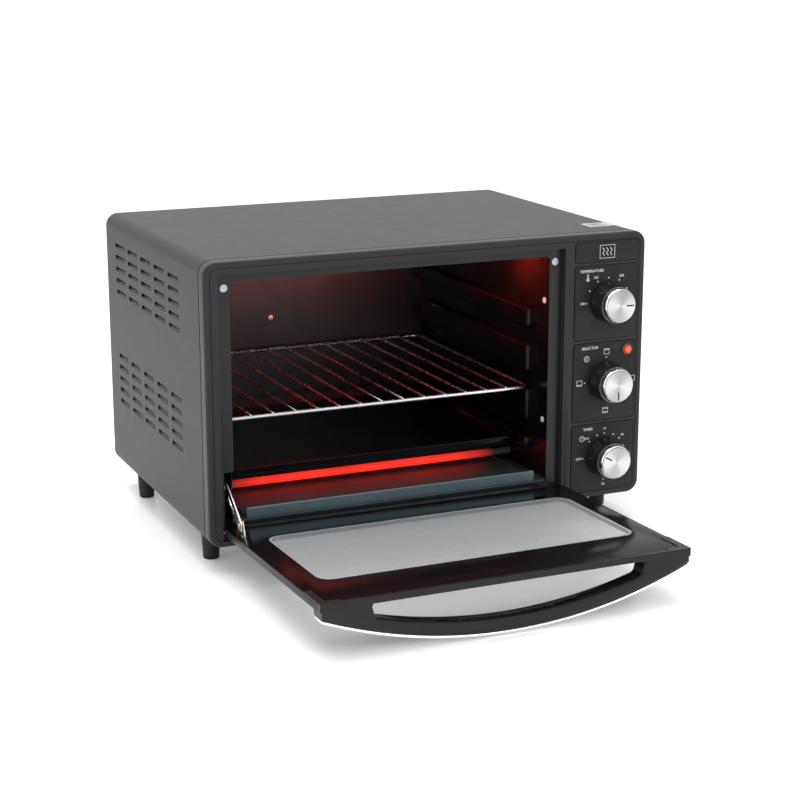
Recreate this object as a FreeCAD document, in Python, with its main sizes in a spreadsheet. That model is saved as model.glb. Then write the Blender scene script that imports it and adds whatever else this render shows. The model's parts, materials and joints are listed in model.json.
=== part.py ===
# Countertop toaster oven: a steel body round an enamelled cavity, a drop-down glass door with a
# bow handle, a strip of three knobs, four rod heaters, a wire rack, a baking tray and a crumb tray.
#
# Millimetres and degrees.  X runs right, Y runs back, Z runs up.  Every piece is drawn from the
# bottom middle of the bezel's front face; the door's pieces are drawn from the hinge axis with the
# door lying flat.  Their Placements then seat them: z = 0 is the surface that the feet stand on,
# and x = y = 0 is the middle of the whole oven with its door open, which is its rest position.
import FreeCAD, Part
import os
import re
import Sketcher

Vector = FreeCAD.Vector

# ------------------------------------------------------------------ driving dimensions
SIZES = (
    ("body_width", 500, "outer width of the bezel"),
    ("body_height", 293, "height of the bezel"),
    ("body_depth", 354, "bezel face to the outside of the back panel"),
    ("foot_height", 29, "body lifted off the surface"),
    ("foot_radius", 10, "top of a foot"),
    ("foot_inset", 19.5, "side of the body to a foot's centre"),
    ("foot_front", 57, "front face to the front feet"),
    ("foot_rear", 62, "back face to the rear feet"),
    ("bezel_depth", 17, "front moulding, front to back"),
    ("bezel_wall", 2.5, "wall of the bezel"),
    ("bezel_corner", 14, "corner radius seen from the front"),
    ("bezel_round", 2.5, "rounding of the front edge"),
    ("seam", 3, "gap from the bezel to the shell"),
    ("spigot", 3, "bezel's lip inside the shell"),
    ("shell_inset", 0.2, "step from the bezel down to the shell"),
    ("shell_sheet", 0.8, "sheet of the shell and the back panel"),
    ("shell_lip", 33, "width of the lips folded under the body"),
    ("louvre_length", 36, "one punched slot"),
    ("louvre_height", 5, "one punched slot"),
    ("louvre_pitch", 13.2, "from row to row"),
    ("louvre_step", 49.5, "from column to column"),
    ("louvre_front", 82.5, "front face to the first column"),
    ("louvre_low", 80, "first row of the lower group"),
    ("louvre_high", 207, "first row of the upper group"),
    ("door_margin", 15, "side of the body to the door recess"),
    ("panel_strip", 97.5, "width of the control strip"),
    ("recess_top", 13.5, "top of the body to the door recess"),
    ("recess_sill", 6, "underside of the body to the door recess"),
    ("recess_depth", 8, "front face to the cavity's front frame"),
    ("recess_lip", 2, "wall round the door recess"),
    ("frame_sheet", 1, "front frame"),
    ("frame_strip", 14.75, "front frame seen at each side of the opening"),
    ("frame_head", 8.5, "front frame seen above the opening"),
    ("frame_sill", 17, "front frame seen below the opening"),
    ("notch_width", 10.2, "notch for the door link, from the opening"),
    ("notch_height", 68, "notch for the door link"),
    ("cavity_step", 1.5, "opening's edge to the cavity's side wall"),
    ("cavity_sheet", 1, "enamelled sheet of the cavity"),
    ("cavity_head", 3, "opening's top edge to the roof"),
    ("cavity_rear", 12, "cavity's back wall to the outside of the back panel"),
    ("rib_reach", 8.5, "pressed rib, out from the side wall"),
    ("rib_corner", 6, "rounding of a rib's ends"),
    ("rib_front", 45, "front face to the ribs"),
    ("rib_rear", 17, "ribs to the back wall"),
    ("rib_low", 26, "floor to the lowest rib"),
    ("rib_tall", 33, "height of the third rib"),
    ("rib_crown", 23.6, "height of the top rib"),
    ("slot_height", 17.5, "space between ribs for a rack"),
    ("tray_level", 40, "floor to the underside of the baking tray's rim"),
    ("rack_level", 97, "floor to the middle of the rack's frame wire"),
    ("rack_wire", 4.4, "rack's frame wire"),
    ("rack_bar", 2.6, "rack's cross bars"),
    ("rack_pitch", 24.5, "from cross bar to cross bar"),
    ("rack_gap", 3.5, "rack to the side wall"),
    ("rack_front", 42, "front face to the rack"),
    ("rack_corner", 12, "bend of the frame wire"),
    ("tray_gap", 4.5, "baking tray's rim to the side wall"),
    ("tray_rim", 7, "width of the rim"),
    ("tray_depth", 12, "rim down to the base"),
    ("tray_front", 50, "front face to the baking tray"),
    ("tray_corner", 14, "corner radius of the tray's well"),
    ("tray_sheet", 1, "baking tray"),
    ("crumb_gap", 15.5, "crumb tray to the side wall"),
    ("crumb_front", 10, "front face to the crumb tray"),
    ("crumb_lip", 10, "front lip of the crumb tray"),
    ("crumb_sheet", 0.8, "crumb tray"),
    ("seat_gap", 0.5, "tray to what it stands on"),
    ("heater_radius", 4.2, "sheathed heater rod"),
    ("heater_low", 10, "floor to the lower heaters"),
    ("heater_high", 16.5, "roof to the upper heaters"),
    ("heater_front", 100, "front face to the front heaters"),
    ("heater_rear", 77, "back wall to the rear heaters"),
    ("heater_tail", 14, "heater beyond the outside of the side wall"),
    ("collar_radius", 8, "ceramic collar on a heater"),
    ("collar_length", 6, "ceramic collar on a heater"),
    ("door_clear", 1, "door to the recess at the sides and the top"),
    ("door_back_gap", 1.2, "closed door to the front frame"),
    ("hinge_setback", 1.3, "hinge axis behind the front face"),
    ("hinge_height", 15.2, "hinge axis above the underside of the body"),
    ("door_under", 2.8, "hinge axis to the door's outer face"),
    ("door_rise", 1.6, "open door, above level"),
    ("glass_sheet", 4, "door glass"),
    ("glass_drop", 0.8, "glass below the door's inner face"),
    ("rail_width", 7, "side rail of the door"),
    ("rail_edge", 1.2, "upstand of a side rail"),
    ("pin_radius", 1.1, "hinge pin"),
    ("pin_fit", 0.05, "running clearance on a pin or a shaft"),
    ("foot_rail", 8, "bottom rail of the door, ahead of the hinge"),
    ("foot_rail_end", 21.5, "bottom rail's end to the recess"),
    ("handle_width", 20, "bow handle across the door's height"),
    ("handle_half", 191, "middle to the end of the bow"),
    ("handle_end", 7.5, "depth of the bow at its ends"),
    ("handle_drop", 45.3, "depth of the bow in the middle"),
    ("grip_half", 141.5, "middle to the end of the finger gap"),
    ("grip_step", 3, "slant at the finger gap's ends"),
    ("grip_end", 12.5, "finger gap at its ends"),
    ("grip_drop", 31.6, "finger gap in the middle"),
    ("grip_round", 6, "rounding of the finger gap's lower corners"),
    ("grip_head", 1.6, "handle left over the finger gap, under the glass"),
    ("channel_edge", 4.5, "bow's edge to the channel in its finger side"),
    ("channel_depth", 2.4, "channel in the bow's finger side"),
    ("handle_round", 3.5, "rounding of the bow's long edges"),
    ("trim_sheet", 2.5, "bright strip on the bow"),
    ("trim_inset", 1.5, "strip in from the bow's edges"),
    ("tab_length", 42, "corner tab along the door's side"),
    ("tab_width", 8, "corner tab"),
    ("tab_reach", 22, "corner tab along the door's end"),
    ("end_strip", 4, "handle's lip over the glass edge"),
    ("clip_spread", 69.5, "middle to a clip slot in the bow"),
    ("link_plane", 6.5, "opening's edge to the middle of the link"),
    ("link_sheet", 1.2, "link, and the bracket it turns on"),
    ("link_gap", 0.6, "link to its bracket"),
    ("link_length", 78, "pivot to the spring's hole"),
    ("link_width", 13, "link"),
    ("link_angle", 34.3, "link above level, door open"),
    ("pivot_reach", 28.9, "hinge axis to the link's pivot along the door"),
    ("pivot_rise", 14.2, "hinge axis to the link's pivot off the door"),
    ("rivet_radius", 2, "pivot rivet"),
    ("spring_radius", 3.5, "tension spring"),
    ("spring_length", 104, "spring at its stretch with the door open"),
    ("anchor_side", 5.3, "middle of the spring to the plate it is anchored to"),
    ("anchor_length", 48, "spring's hook to the foot of that plate"),
    ("plate_margin", 9.2, "side of the body to the control plates"),
    ("plate_width", 76.5, "control plates"),
    ("plate_top", 9, "top of the body to the top plate"),
    ("plate_sill", 7.1, "underside of the body to the bottom plate"),
    ("plate_gap", 4.1, "from plate to plate"),
    ("plate_seat", 1.2, "pocket that a plate sits in"),
    ("plate_proud", 0.6, "plate in front of the bezel"),
    ("plate_clear", 0.8, "groove round a plate"),
    ("plate_corner", 3, "corner radius of a plate"),
    ("badge_plate_height", 21.5, "top plate"),
    ("temperature_plate_height", 80.4, "plate behind the temperature knob"),
    ("timer_plate_height", 76, "plate behind the timer knob"),
    ("knob_margin", 45, "side of the body to the knobs' axis"),
    ("knob_radius", 22, "knob at the panel"),
    ("knob_waist", 20.9, "knob at its cap"),
    ("knob_body", 21, "knob without its cap"),
    ("knob_cap", 6, "bright cap"),
    ("knob_stand", 1.2, "knob off its plate"),
    ("shaft_radius", 3, "spindle"),
    ("shaft_hole", 4.5, "hole that a spindle passes through"),
    ("lamp_margin", 19.5, "side of the body to the indicator lamp"),
    ("lamp_drop", 10, "top of its plate to the indicator lamp"),
    ("lamp_radius", 5, "indicator lens"),
    ("bracket_setback", 12.3, "front face to the bracket behind the knobs"),
    ("bracket_sheet", 1.2, "bracket behind the knobs"),
    ("shield_gap", 26, "cavity to the heat shield beside the controls"),
    ("gland_radius", 7, "cord gland, through the back panel"),
    ("gland_reach", 10, "cord gland, out of the back panel"),
)
NAMES = {name for name, _, _ in SIZES}

doc = FreeCAD.newDocument("toaster_oven")
sheet = doc.addObject("Spreadsheet::Sheet", "sizes")
for row, (name, value, note) in enumerate(SIZES, start=1):
    sheet.set("A%d" % row, name)
    sheet.set("B%d" % row, str(value))
    sheet.set("C%d" % row, note)
    sheet.setAlias("B%d" % row, name)
reckoner = doc.addObject("Spreadsheet::Sheet", "reckoner")
doc.recompute()


def formula(text):
    """An expression in plain size names, as FreeCAD reads it."""
    return re.sub(r"[a-z][a-z_]+", lambda m: "sizes." + m.group() if m.group() in NAMES else m.group(), str(text))


def number(text):
    """What a formula comes to now; sketches are first drawn at these values."""
    reckoner.set("A1", "=" + formula(text))
    reckoner.recompute()
    return float(reckoner.get("A1"))


# ------------------------------------------------------------------ places that several pieces share
HALF = "(body_width / 2)"
RECESS_LEFT = "(door_margin - body_width / 2)"
RECESS_RIGHT = "(body_width / 2 - panel_strip)"
RECESS_TOP = "(body_height - recess_top)"
MIDDLE = "((door_margin - panel_strip) / 2)"
OPEN_LEFT = f"({RECESS_LEFT} + frame_strip)"
OPEN_RIGHT = f"({RECESS_RIGHT} - frame_strip)"
OPEN_TOP = f"({RECESS_TOP} - frame_head)"
OPEN_SILL = "(recess_sill + frame_sill)"
FRAME_BACK = "(recess_depth + frame_sheet)"
WALL_LEFT = f"({OPEN_LEFT} - cavity_step)"
WALL_RIGHT = f"({OPEN_RIGHT} + cavity_step)"
FLOOR = f"({OPEN_SILL} + cavity_sheet)"
ROOF = f"({OPEN_TOP} + cavity_head)"
REAR = "(body_depth - cavity_rear)"
DOOR_LEFT = f"({RECESS_LEFT} + door_clear)"
DOOR_RIGHT = f"({RECESS_RIGHT} - door_clear)"
DOOR_REACH = f"({RECESS_TOP} - door_clear - hinge_height)"
DOOR_INNER = "(recess_depth - door_back_gap - hinge_setback)"
GLASS_TOP = f"({DOOR_INNER} - glass_drop)"
GLASS_UNDER = f"({GLASS_TOP} - glass_sheet)"
PLATE_RIGHT = "(body_width / 2 - plate_margin)"
PLATE_LEFT = f"({PLATE_RIGHT} - plate_width)"
BADGE_TOP = "(body_height - plate_top)"
TEMPERATURE_TOP = f"({BADGE_TOP} - badge_plate_height - plate_gap)"
SELECTOR_TOP = f"({TEMPERATURE_TOP} - temperature_plate_height - plate_gap)"
TIMER_TOP = "(plate_sill + timer_plate_height)"
KNOB_X = "(body_width / 2 - knob_margin)"
LAMP_X = "(body_width / 2 - lamp_margin)"
LAMP_Z = f"({SELECTOR_TOP} - lamp_drop)"
UNIT_FACE = "(bracket_setback + bracket_sheet)"
LINK_X = f"({OPEN_LEFT} - link_plane)"
HEATER_LOW = f"({FLOOR} + heater_low)"
HEATER_HIGH = f"({ROOF} - heater_high)"
HEATER_BACK = f"({REAR} - heater_rear)"

KNOBS = (
    ("temperature", f"({TEMPERATURE_TOP} - temperature_plate_height / 2)"),
    ("selector", f"(({SELECTOR_TOP} + {TIMER_TOP} + plate_gap) / 2)"),
    ("timer", f"({TIMER_TOP} - timer_plate_height / 2)"),
)

# Where each group of pieces is seated: Base.y, Base.z and the turn about X.
FRONT = f"(({DOOR_REACH} - hinge_setback - body_depth - gland_reach) / 2)"
HINGE_Y = f"({FRONT} + hinge_setback)"
HINGE_Z = "(foot_height + hinge_height)"
SEATS = {
    "body": (FRONT, "foot_height", "0"),
    "door": (HINGE_Y, HINGE_Z, "-door_rise"),
    "link": (
        f"{HINGE_Y} - pivot_reach * cos(door_rise) + pivot_rise * sin(door_rise)",
        f"{HINGE_Z} + pivot_reach * sin(door_rise) + pivot_rise * cos(door_rise)",
        "link_angle",
    ),
}

# ------------------------------------------------------------------ drawing helpers
PLANES = {"X": "YZ_Plane", "Y": "XZ_Plane", "Z": "XY_Plane"}
TURNS = {
    "Z": FreeCAD.Rotation(),
    "-Z": FreeCAD.Rotation(Vector(1, 0, 0), 180),
    "X": FreeCAD.Rotation(Vector(0, 1, 0), 90),
    "-X": FreeCAD.Rotation(Vector(0, 1, 0), -90),
    "Y": FreeCAD.Rotation(Vector(1, 0, 0), -90),
    "-Y": FreeCAD.Rotation(Vector(1, 0, 0), 90),
}
AXES = {"X": Vector(1, 0, 0), "Y": Vector(0, 1, 0), "Z": Vector(0, 0, 1)}
nodes = []


def bind(obj, **cells):
    """Tie properties to formulas; a double underscore stands for a dot."""
    for prop, text in cells.items():
        obj.setExpression(prop.replace("__", "."), formula(text))
    return obj


def place(obj, at, turn="Z"):
    """Put an object at a point given by formulas, its own Z pointing along an axis."""
    obj.Placement = FreeCAD.Placement(Vector(), TURNS[turn])
    return bind(obj, Placement__Base__x=at[0], Placement__Base__y=at[1], Placement__Base__z=at[2])


def span(pair):
    return f"({pair[1]}) - ({pair[0]})"


def block(name, x, y, z):
    """A plain block between low and high formulas on each axis."""
    obj = doc.addObject("Part::Box", name)
    bind(obj, Length=span(x), Width=span(y), Height=span(z))
    return place(obj, (x[0], y[0], z[0]))


def rod(name, radius, at, length, turn="Z"):
    """A round bar from a point along an axis."""
    obj = doc.addObject("Part::Cylinder", name)
    bind(obj, Radius=radius, Height=length)
    return place(obj, at, turn)


def fuse(name, *pieces):
    obj = doc.addObject("Part::MultiFuse", name)
    obj.Shapes = list(pieces)
    return obj


def cut(name, base, *tools):
    obj = doc.addObject("Part::Cut", name)
    obj.Base = base
    obj.Tool = tools[0] if len(tools) == 1 else fuse(name + "_tools", *tools)
    return obj


def polygon(body, name, axis, points, offset="0", arcs=()):
    """A closed outline on the plane across an axis; each corner follows its two formulas.

    A side whose number is in arcs is an arc that bulges through the point given for it.
    """
    sketch = body.newObject("Sketcher::SketchObject", name)
    plane = next(f for f in body.Origin.OriginFeatures if f.Role == PLANES[axis])
    sketch.AttachmentSupport = [(plane, "")]
    sketch.MapMode = "FlatFace"
    bind(sketch, AttachmentOffset__Base__z=offset if axis != "Y" else f"-({offset})")
    bulges = dict(arcs)
    corners = [Vector(number(a), number(b), 0) for a, b in points]
    count = len(corners)
    for side in range(count):
        start, end = corners[side], corners[(side + 1) % count]
        if side in bulges:
            through = Vector(number(bulges[side][0]), number(bulges[side][1]), 0)
            sketch.addGeometry(Part.Arc(start, through, end), False)
        else:
            sketch.addGeometry(Part.LineSegment(start, end), False)
    ends = []
    for side in range(count):
        swapped = sketch.getPoint(side, 1).distanceToPoint(corners[side]) > 1e-6
        ends.append((2, 1) if swapped else (1, 2))
    for side in range(count):
        following = (side + 1) % count
        sketch.addConstraint(Sketcher.Constraint("Coincident", side, ends[side][1], following, ends[following][0]))
    for side, (a, b) in enumerate(points):
        for kind, text, here in (("DistanceX", a, corners[side].x), ("DistanceY", b, corners[side].y)):
            which = sketch.addConstraint(Sketcher.Constraint(kind, -1, 1, side, ends[side][0], here))
            sketch.setExpression("Constraints[%d]" % which, formula(text))
    for side, through in bulges.items():
        which = sketch.addConstraint(Sketcher.Constraint("Radius", side, sketch.Geometry[side].Radius))
        half = f"(({points[(side + 1) % count][0]}) - ({points[side][0]})) / 2"
        rise = f"(({through[1]}) - ({points[side][1]}))"
        sketch.setExpression("Constraints[%d]" % which, formula(f"(({half})^2 + {rise}^2) / (2 * abs{rise})"))
    return sketch


def extrude(body, name, axis, points, reach, arcs=(), kind="Pad"):
    """Pad or pocket an outline between low and high formulas along an axis."""
    sketch = polygon(body, name + "_outline", axis, points, reach[0], arcs)
    feature = body.newObject("PartDesign::" + kind, name)
    feature.Profile = sketch
    feature.Reversed = (axis == "Y") == (kind == "Pad")
    bind(feature, Length=span(reach))
    return feature


def oblong(a, b):
    """Corners of a rectangle on a sketch plane."""
    return [(a[0], b[0]), (a[1], b[0]), (a[1], b[1]), (a[0], b[1])]


def round_edges(body, name, radius, wanted):
    """Fillet every edge of the body that the test picks."""
    doc.recompute()
    tip = body.Tip
    picked = ["Edge%d" % (i + 1) for i, edge in enumerate(tip.Shape.Edges) if wanted(edge)]
    fillet = body.newObject("PartDesign::Fillet", name)
    fillet.Base = (tip, picked)
    bind(fillet, Radius=radius)
    return fillet


def runs_along(edge, axis):
    ends = edge.Vertexes
    if len(ends) != 2:
        return False
    way = ends[1].Point - ends[0].Point
    return way.Length > 1e-6 and way.cross(AXES[axis]).Length < 1e-6 * way.Length


def lies_at(edge, axis, place_text):
    box = edge.BoundBox
    low, high = getattr(box, axis + "Min"), getattr(box, axis + "Max")
    return abs(low - number(place_text)) < 1e-3 and abs(high - number(place_text)) < 1e-3


def rounded(name, x, y, z, corner, axis="Z", rim=None, rim_at=None):
    """A block with its four edges along an axis rounded, and perhaps the rim of one end too."""
    body = doc.addObject("PartDesign::Body", name)
    spans = {"X": x, "Y": y, "Z": z}
    across = {"X": (y, z), "Y": (x, z), "Z": (x, y)}[axis]
    extrude(body, name + "_pad", axis, oblong(*across), spans[axis])
    round_edges(body, name + "_corners", corner, lambda edge: runs_along(edge, axis))
    if rim:
        round_edges(body, name + "_rim", rim, lambda edge: lies_at(edge, axis, rim_at))
    return body


def turned(name, points, at=("0", "0", "0"), turn="Z"):
    """A lathe-turned piece: corners are (radius, distance along the axis)."""
    body = doc.addObject("PartDesign::Body", name)
    sketch = polygon(body, name + "_outline", "Y", points)
    feature = body.newObject("PartDesign::Revolution", name + "_turn")
    feature.Profile = sketch
    feature.ReferenceAxis = (sketch, ["V_Axis"])
    feature.Angle = 360
    return place(body, at, turn)


def node(label, *pieces, seat="body"):
    """Finish a sub-part: gather its pieces, name it and seat it."""
    top = pieces[0]
    if len(pieces) > 1 or any("Placement" in path for path, _ in top.ExpressionEngine):
        top = doc.addObject("Part::Compound", label)
        top.Links = list(pieces)
    top.Label = label
    seat_y, seat_z, angle = SEATS[seat]
    top.Placement = FreeCAD.Placement(Vector(), FreeCAD.Rotation(Vector(1, 0, 0), number(angle)))
    bind(top, Placement__Base__y=seat_y, Placement__Base__z=seat_z)
    if angle != "0":
        bind(top, Placement__Rotation__Angle=f"abs({angle})")
        top.Placement.Rotation.Axis = Vector(1 if number(angle) > 0 else -1, 0, 0)
    nodes.append(top)
    return top


def add(text, amount):
    return f"({text} + {amount})"


# ------------------------------------------------------------------ bezel and control plates
PLATES = (
    ("badge_plate", f"({BADGE_TOP} - badge_plate_height)", BADGE_TOP, None),
    ("temperature_plate", f"({TEMPERATURE_TOP} - temperature_plate_height)", TEMPERATURE_TOP, KNOBS[0][1]),
    ("selector_plate", f"({TIMER_TOP} + plate_gap)", SELECTOR_TOP, KNOBS[1][1]),
    ("timer_plate", "plate_sill", TIMER_TOP, KNOBS[2][1]),
)
BRACKET_X = (add(PLATE_LEFT, -4), add(PLATE_RIGHT, 3))
BRACKET_Z = ("plate_sill + 2", TEMPERATURE_TOP)
POSTS = [(x, z) for x in (add(PLATE_LEFT, 3), add(PLATE_RIGHT, -4))
         for z in ("(plate_sill + 9)", add(TEMPERATURE_TOP, -7))]


def build_bezel():
    outer = rounded("bezel_block", (f"-{HALF}", HALF), ("0", "bezel_depth - seam"), ("0", "body_height"),
                    "bezel_corner", "Y", "bezel_round", "0")
    wall = "(shell_inset + shell_sheet + 1.2)"
    side = f"({HALF} - {wall})"
    hollow = rounded("bezel_hollow", (f"-{side}", side), ("bezel_wall", "bezel_depth + spigot + 1"),
                     (wall, f"body_height - {wall}"), f"bezel_corner - {wall}", "Y")
    lip = block("recess_wall", (f"{RECESS_LEFT} - recess_lip", f"{RECESS_RIGHT} + recess_lip"),
                ("bezel_wall / 2", "recess_depth"), ("recess_sill - recess_lip", f"{RECESS_TOP} + recess_lip"))
    posts = [rod(f"bezel_post_{i}", "4", (x, "bezel_wall / 2", z), "bracket_setback - bezel_wall / 2", "Y")
             for i, (x, z) in enumerate(POSTS)]
    rim = "(shell_inset + shell_sheet)"
    lip_side = f"({HALF} - {rim})"
    spigot = rounded("bezel_spigot", (f"-{lip_side}", lip_side), ("bezel_depth - 4", "bezel_depth + spigot"),
                     (rim, f"body_height - {rim}"), f"bezel_corner - {rim}", "Y")
    solid = fuse("bezel_solid", cut("bezel_walls", fuse("bezel_skin", outer, spigot), hollow), lip, *posts)
    tools = [block("recess_opening", (RECESS_LEFT, RECESS_RIGHT), ("-1", "recess_depth + 1"),
                   ("recess_sill", RECESS_TOP))]
    for name, low, high, knob in PLATES:
        tools.append(rounded(name + "_pocket", (f"{PLATE_LEFT} - plate_clear", f"{PLATE_RIGHT} + plate_clear"),
                             ("-1", "plate_seat"), (f"{low} - plate_clear", f"{high} + plate_clear"),
                             "plate_corner + plate_clear", "Y"))
        if knob:
            tools.append(rod(name + "_hole", "shaft_hole", (KNOB_X, "-1", knob), "bezel_wall + 2", "Y"))
    tools.append(rod("lamp_hole", "lamp_radius - 1", (LAMP_X, "-1", LAMP_Z), "bezel_wall + 2", "Y"))
    for side_name, edge in (("left", f"{RECESS_LEFT} - recess_lip - 3"), ("right", f"{RECESS_RIGHT} - 1")):
        tools.append(rod(f"pin_hole_{side_name}", "pin_radius", (edge, "hinge_setback", "hinge_height"),
                         "recess_lip + 4", "X"))
    node("front_bezel", cut("bezel", solid, *tools))


def build_plates():
    for name, low, high, knob in PLATES:
        plate = rounded(name + "_blank", (PLATE_LEFT, PLATE_RIGHT), ("-plate_proud", "plate_seat"),
                        (low, high), "plate_corner", "Y")
        tools = []
        if knob:
            tools.append(rod(name + "_bore", "shaft_hole", (KNOB_X, "-2", knob), "6", "Y"))
        if name == "selector_plate":
            tools.append(rod("lamp_bore", "lamp_radius - 1", (LAMP_X, "-2", LAMP_Z), "6", "Y"))
        node(name, cut(name + "_cut", plate, *tools) if tools else plate)


# ------------------------------------------------------------------ knobs and what they turn
def build_knobs():
    face = "plate_proud + knob_stand"
    top = f"{face} + knob_body"
    for name, height in KNOBS:
        at = (KNOB_X, "0", height)
        node(name + "_knob", turned(name + "_knob_turned", [
            ("shaft_radius", face), ("knob_radius", face), ("knob_radius", f"{face} + 3"),
            ("knob_waist", f"{top} - 1"), ("knob_waist - 1", top), ("0", top),
            ("0", f"{face} + 14"), ("shaft_radius", f"{face} + 14")], at, "-Y"))
        node(name + "_knob_cap", turned(name + "_cap_turned", [
            ("0", top), ("knob_waist - 1.1", top), ("knob_waist - 0.9", f"{top} + knob_cap / 2"),
            ("knob_waist - 2.4", f"{top} + knob_cap - 0.6"), ("knob_waist - 3", f"{top} + knob_cap"),
            ("0", f"{top} + knob_cap")], at, "-Y"))
        node(name + "_spindle", rod(name + "_spindle_rod", "shaft_radius",
                                    (KNOB_X, f"-({face} + 14)", height), f"{face} + 14 + {UNIT_FACE} + 6", "Y"))


def build_units():
    bore_length = "8"
    bracket = block("bracket_sheet_metal", BRACKET_X, ("bracket_setback", UNIT_FACE), BRACKET_Z)
    holes = [rod(f"bracket_hole_{name}", "shaft_hole", (KNOB_X, "bracket_setback - 1", height), "4", "Y")
             for name, height in KNOBS]
    holes.append(rod("bracket_hole_lamp", "lamp_radius + 1.5", (LAMP_X, "bracket_setback - 1", LAMP_Z), "4", "Y"))
    node("control_bracket", cut("bracket_cut", bracket, *holes))
    cases = {
        "thermostat": (KNOBS[0][1], 19, 15, 26),
        "selector_switch": (KNOBS[1][1], 20, 18, 30),
    }
    for name, (height, half_x, half_z, depth) in cases.items():
        case = block(name + "_case", (f"{KNOB_X} - {half_x}", f"{KNOB_X} + {half_x}"),
                     (UNIT_FACE, f"{UNIT_FACE} + {depth}"), (f"{height} - {half_z}", f"{height} + {half_z}"))
        bore = rod(name + "_bore", "shaft_radius + pin_fit", (KNOB_X, f"{UNIT_FACE} - 1", height), bore_length, "Y")
        node(name, cut(name + "_cut", case, bore))
    height = KNOBS[2][1]
    case = rod("timer_case", "23", (KNOB_X, UNIT_FACE, height), "32", "Y")
    bell = turned("timer_bell", [("0", "0"), ("15", "0"), ("18", "3"), ("18", "9"), ("0", "12")],
                  (KNOB_X, f"{UNIT_FACE} + 32", height), "Y")
    bore = rod("timer_bore", "shaft_radius + pin_fit", (KNOB_X, f"{UNIT_FACE} - 1", height), bore_length, "Y")
    node("timer_mechanism", cut("timer_cut", fuse("timer_solid", case, bell), bore))


def build_lamp():
    at = (LAMP_X, "0", LAMP_Z)
    node("indicator_lens", turned("lens_turned", [
        ("0", "-bezel_wall"), ("lamp_radius - 1.2", "-bezel_wall"), ("lamp_radius - 1.2", "plate_proud"),
        ("lamp_radius", "plate_proud"), ("lamp_radius", "plate_proud + 1"), ("lamp_radius - 1", "plate_proud + 2.4"),
        ("lamp_radius - 3", "plate_proud + 3.2"), ("0", "plate_proud + 3.4")], at, "-Y"))
    node("indicator_lamp", rod("lamp_case", "lamp_radius + 1", (LAMP_X, "bezel_wall", LAMP_Z), "20", "Y"))


# ------------------------------------------------------------------ cavity
def build_front_frame():
    frame = block("frame_blank", (f"{RECESS_LEFT} - recess_lip", f"{RECESS_RIGHT} + recess_lip"),
                  ("recess_depth", FRAME_BACK), ("recess_sill - recess_lip", f"{RECESS_TOP} + recess_lip"))
    opening = rounded("frame_opening", (OPEN_LEFT, OPEN_RIGHT), ("recess_depth - 1", f"{FRAME_BACK} + 1"),
                      (OPEN_SILL, OPEN_TOP), "4", "Y")
    notch = block("frame_notch", (f"{OPEN_LEFT} - notch_width", f"{OPEN_LEFT} + 3"),
                  ("recess_depth - 1", f"{FRAME_BACK} + 1"), ("recess_sill + 2", "recess_sill + 2 + notch_height"))
    node("cavity_front_frame", cut("frame_cut", frame, opening, notch))
    spots = [(f"{OPEN_LEFT} - 6.3", f"{OPEN_TOP} - 6"), (f"{OPEN_RIGHT} + 6.3", f"{OPEN_TOP} - 6")]
    node("frame_screws", *[turned(f"frame_screw_{i}", [("0", "0"), ("4", "0"), ("4", "0.4"), ("3", "0.8"),
                                                       ("0", "0.8")], (x, "recess_depth", z), "-Y")
                           for i, (x, z) in enumerate(spots)])


RIB_TWO = f"({FLOOR} + tray_level - seat_gap + slot_height)"
RIB_TWO_TOP = f"({FLOOR} + rack_level - rack_wire / 2 - 0.4)"
RIB_THREE = f"({RIB_TWO_TOP} + slot_height)"
RIB_FOUR = f"({RIB_THREE} + rib_tall + slot_height)"
RIBS = (
    (f"({FLOOR} + rib_low)", f"({FLOOR} + tray_level - seat_gap)"),
    (RIB_TWO, RIB_TWO_TOP),
    (RIB_THREE, f"({RIB_THREE} + rib_tall)"),
    (RIB_FOUR, f"({RIB_FOUR} + rib_crown)"),
)
HEATERS = [(y, z) for z in (HEATER_LOW, HEATER_HIGH) for y in ("heater_front", HEATER_BACK)]
WALL_SCREWS = [("21", f"({FLOOR} + 65)"), ("21", f"({OPEN_TOP} - 50)")]


def build_side_wall(side, face, way):
    """One side wall; way is 1 where the wall's outside lies towards +X."""
    def inward(amount):
        return f"{face} - {way} * ({amount})"

    def between(first, second):
        return (inward(first), inward(second)) if way < 0 else (inward(second), inward(first))

    sheet_metal = block(f"{side}_wall_sheet", between("-cavity_sheet", "0"), (FRAME_BACK, REAR),
                        (f"{FLOOR} - cavity_sheet", f"{ROOF} + cavity_sheet"))
    ribs, hollows = [], []
    for i, (low, high) in enumerate(RIBS):
        ribs.append(rounded(f"{side}_rib_{i}", between("-cavity_sheet / 2", "rib_reach"),
                            ("rib_front", f"{REAR} - rib_rear"), (low, high), "rib_corner", "X",
                            "rib_corner - 2", inward("rib_reach")))
        inset = "cavity_sheet"
        hollows.append(rounded(f"{side}_rib_hollow_{i}", between("-cavity_sheet - 1", f"rib_reach - {inset}"),
                               (f"rib_front + {inset}", f"{REAR} - rib_rear - {inset}"),
                               (f"{low} + {inset}", f"{high} - {inset}"), f"rib_corner - {inset}", "X"))
    holes = [rod(f"{side}_heater_hole_{i}", "heater_radius + 0.4", (f"{face} - 3", y, z), "6", "X")
             for i, (y, z) in enumerate(HEATERS)]
    node(f"cavity_{side}_wall", cut(f"{side}_wall", fuse(f"{side}_wall_solid", sheet_metal, *ribs), *hollows, *holes))


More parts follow.
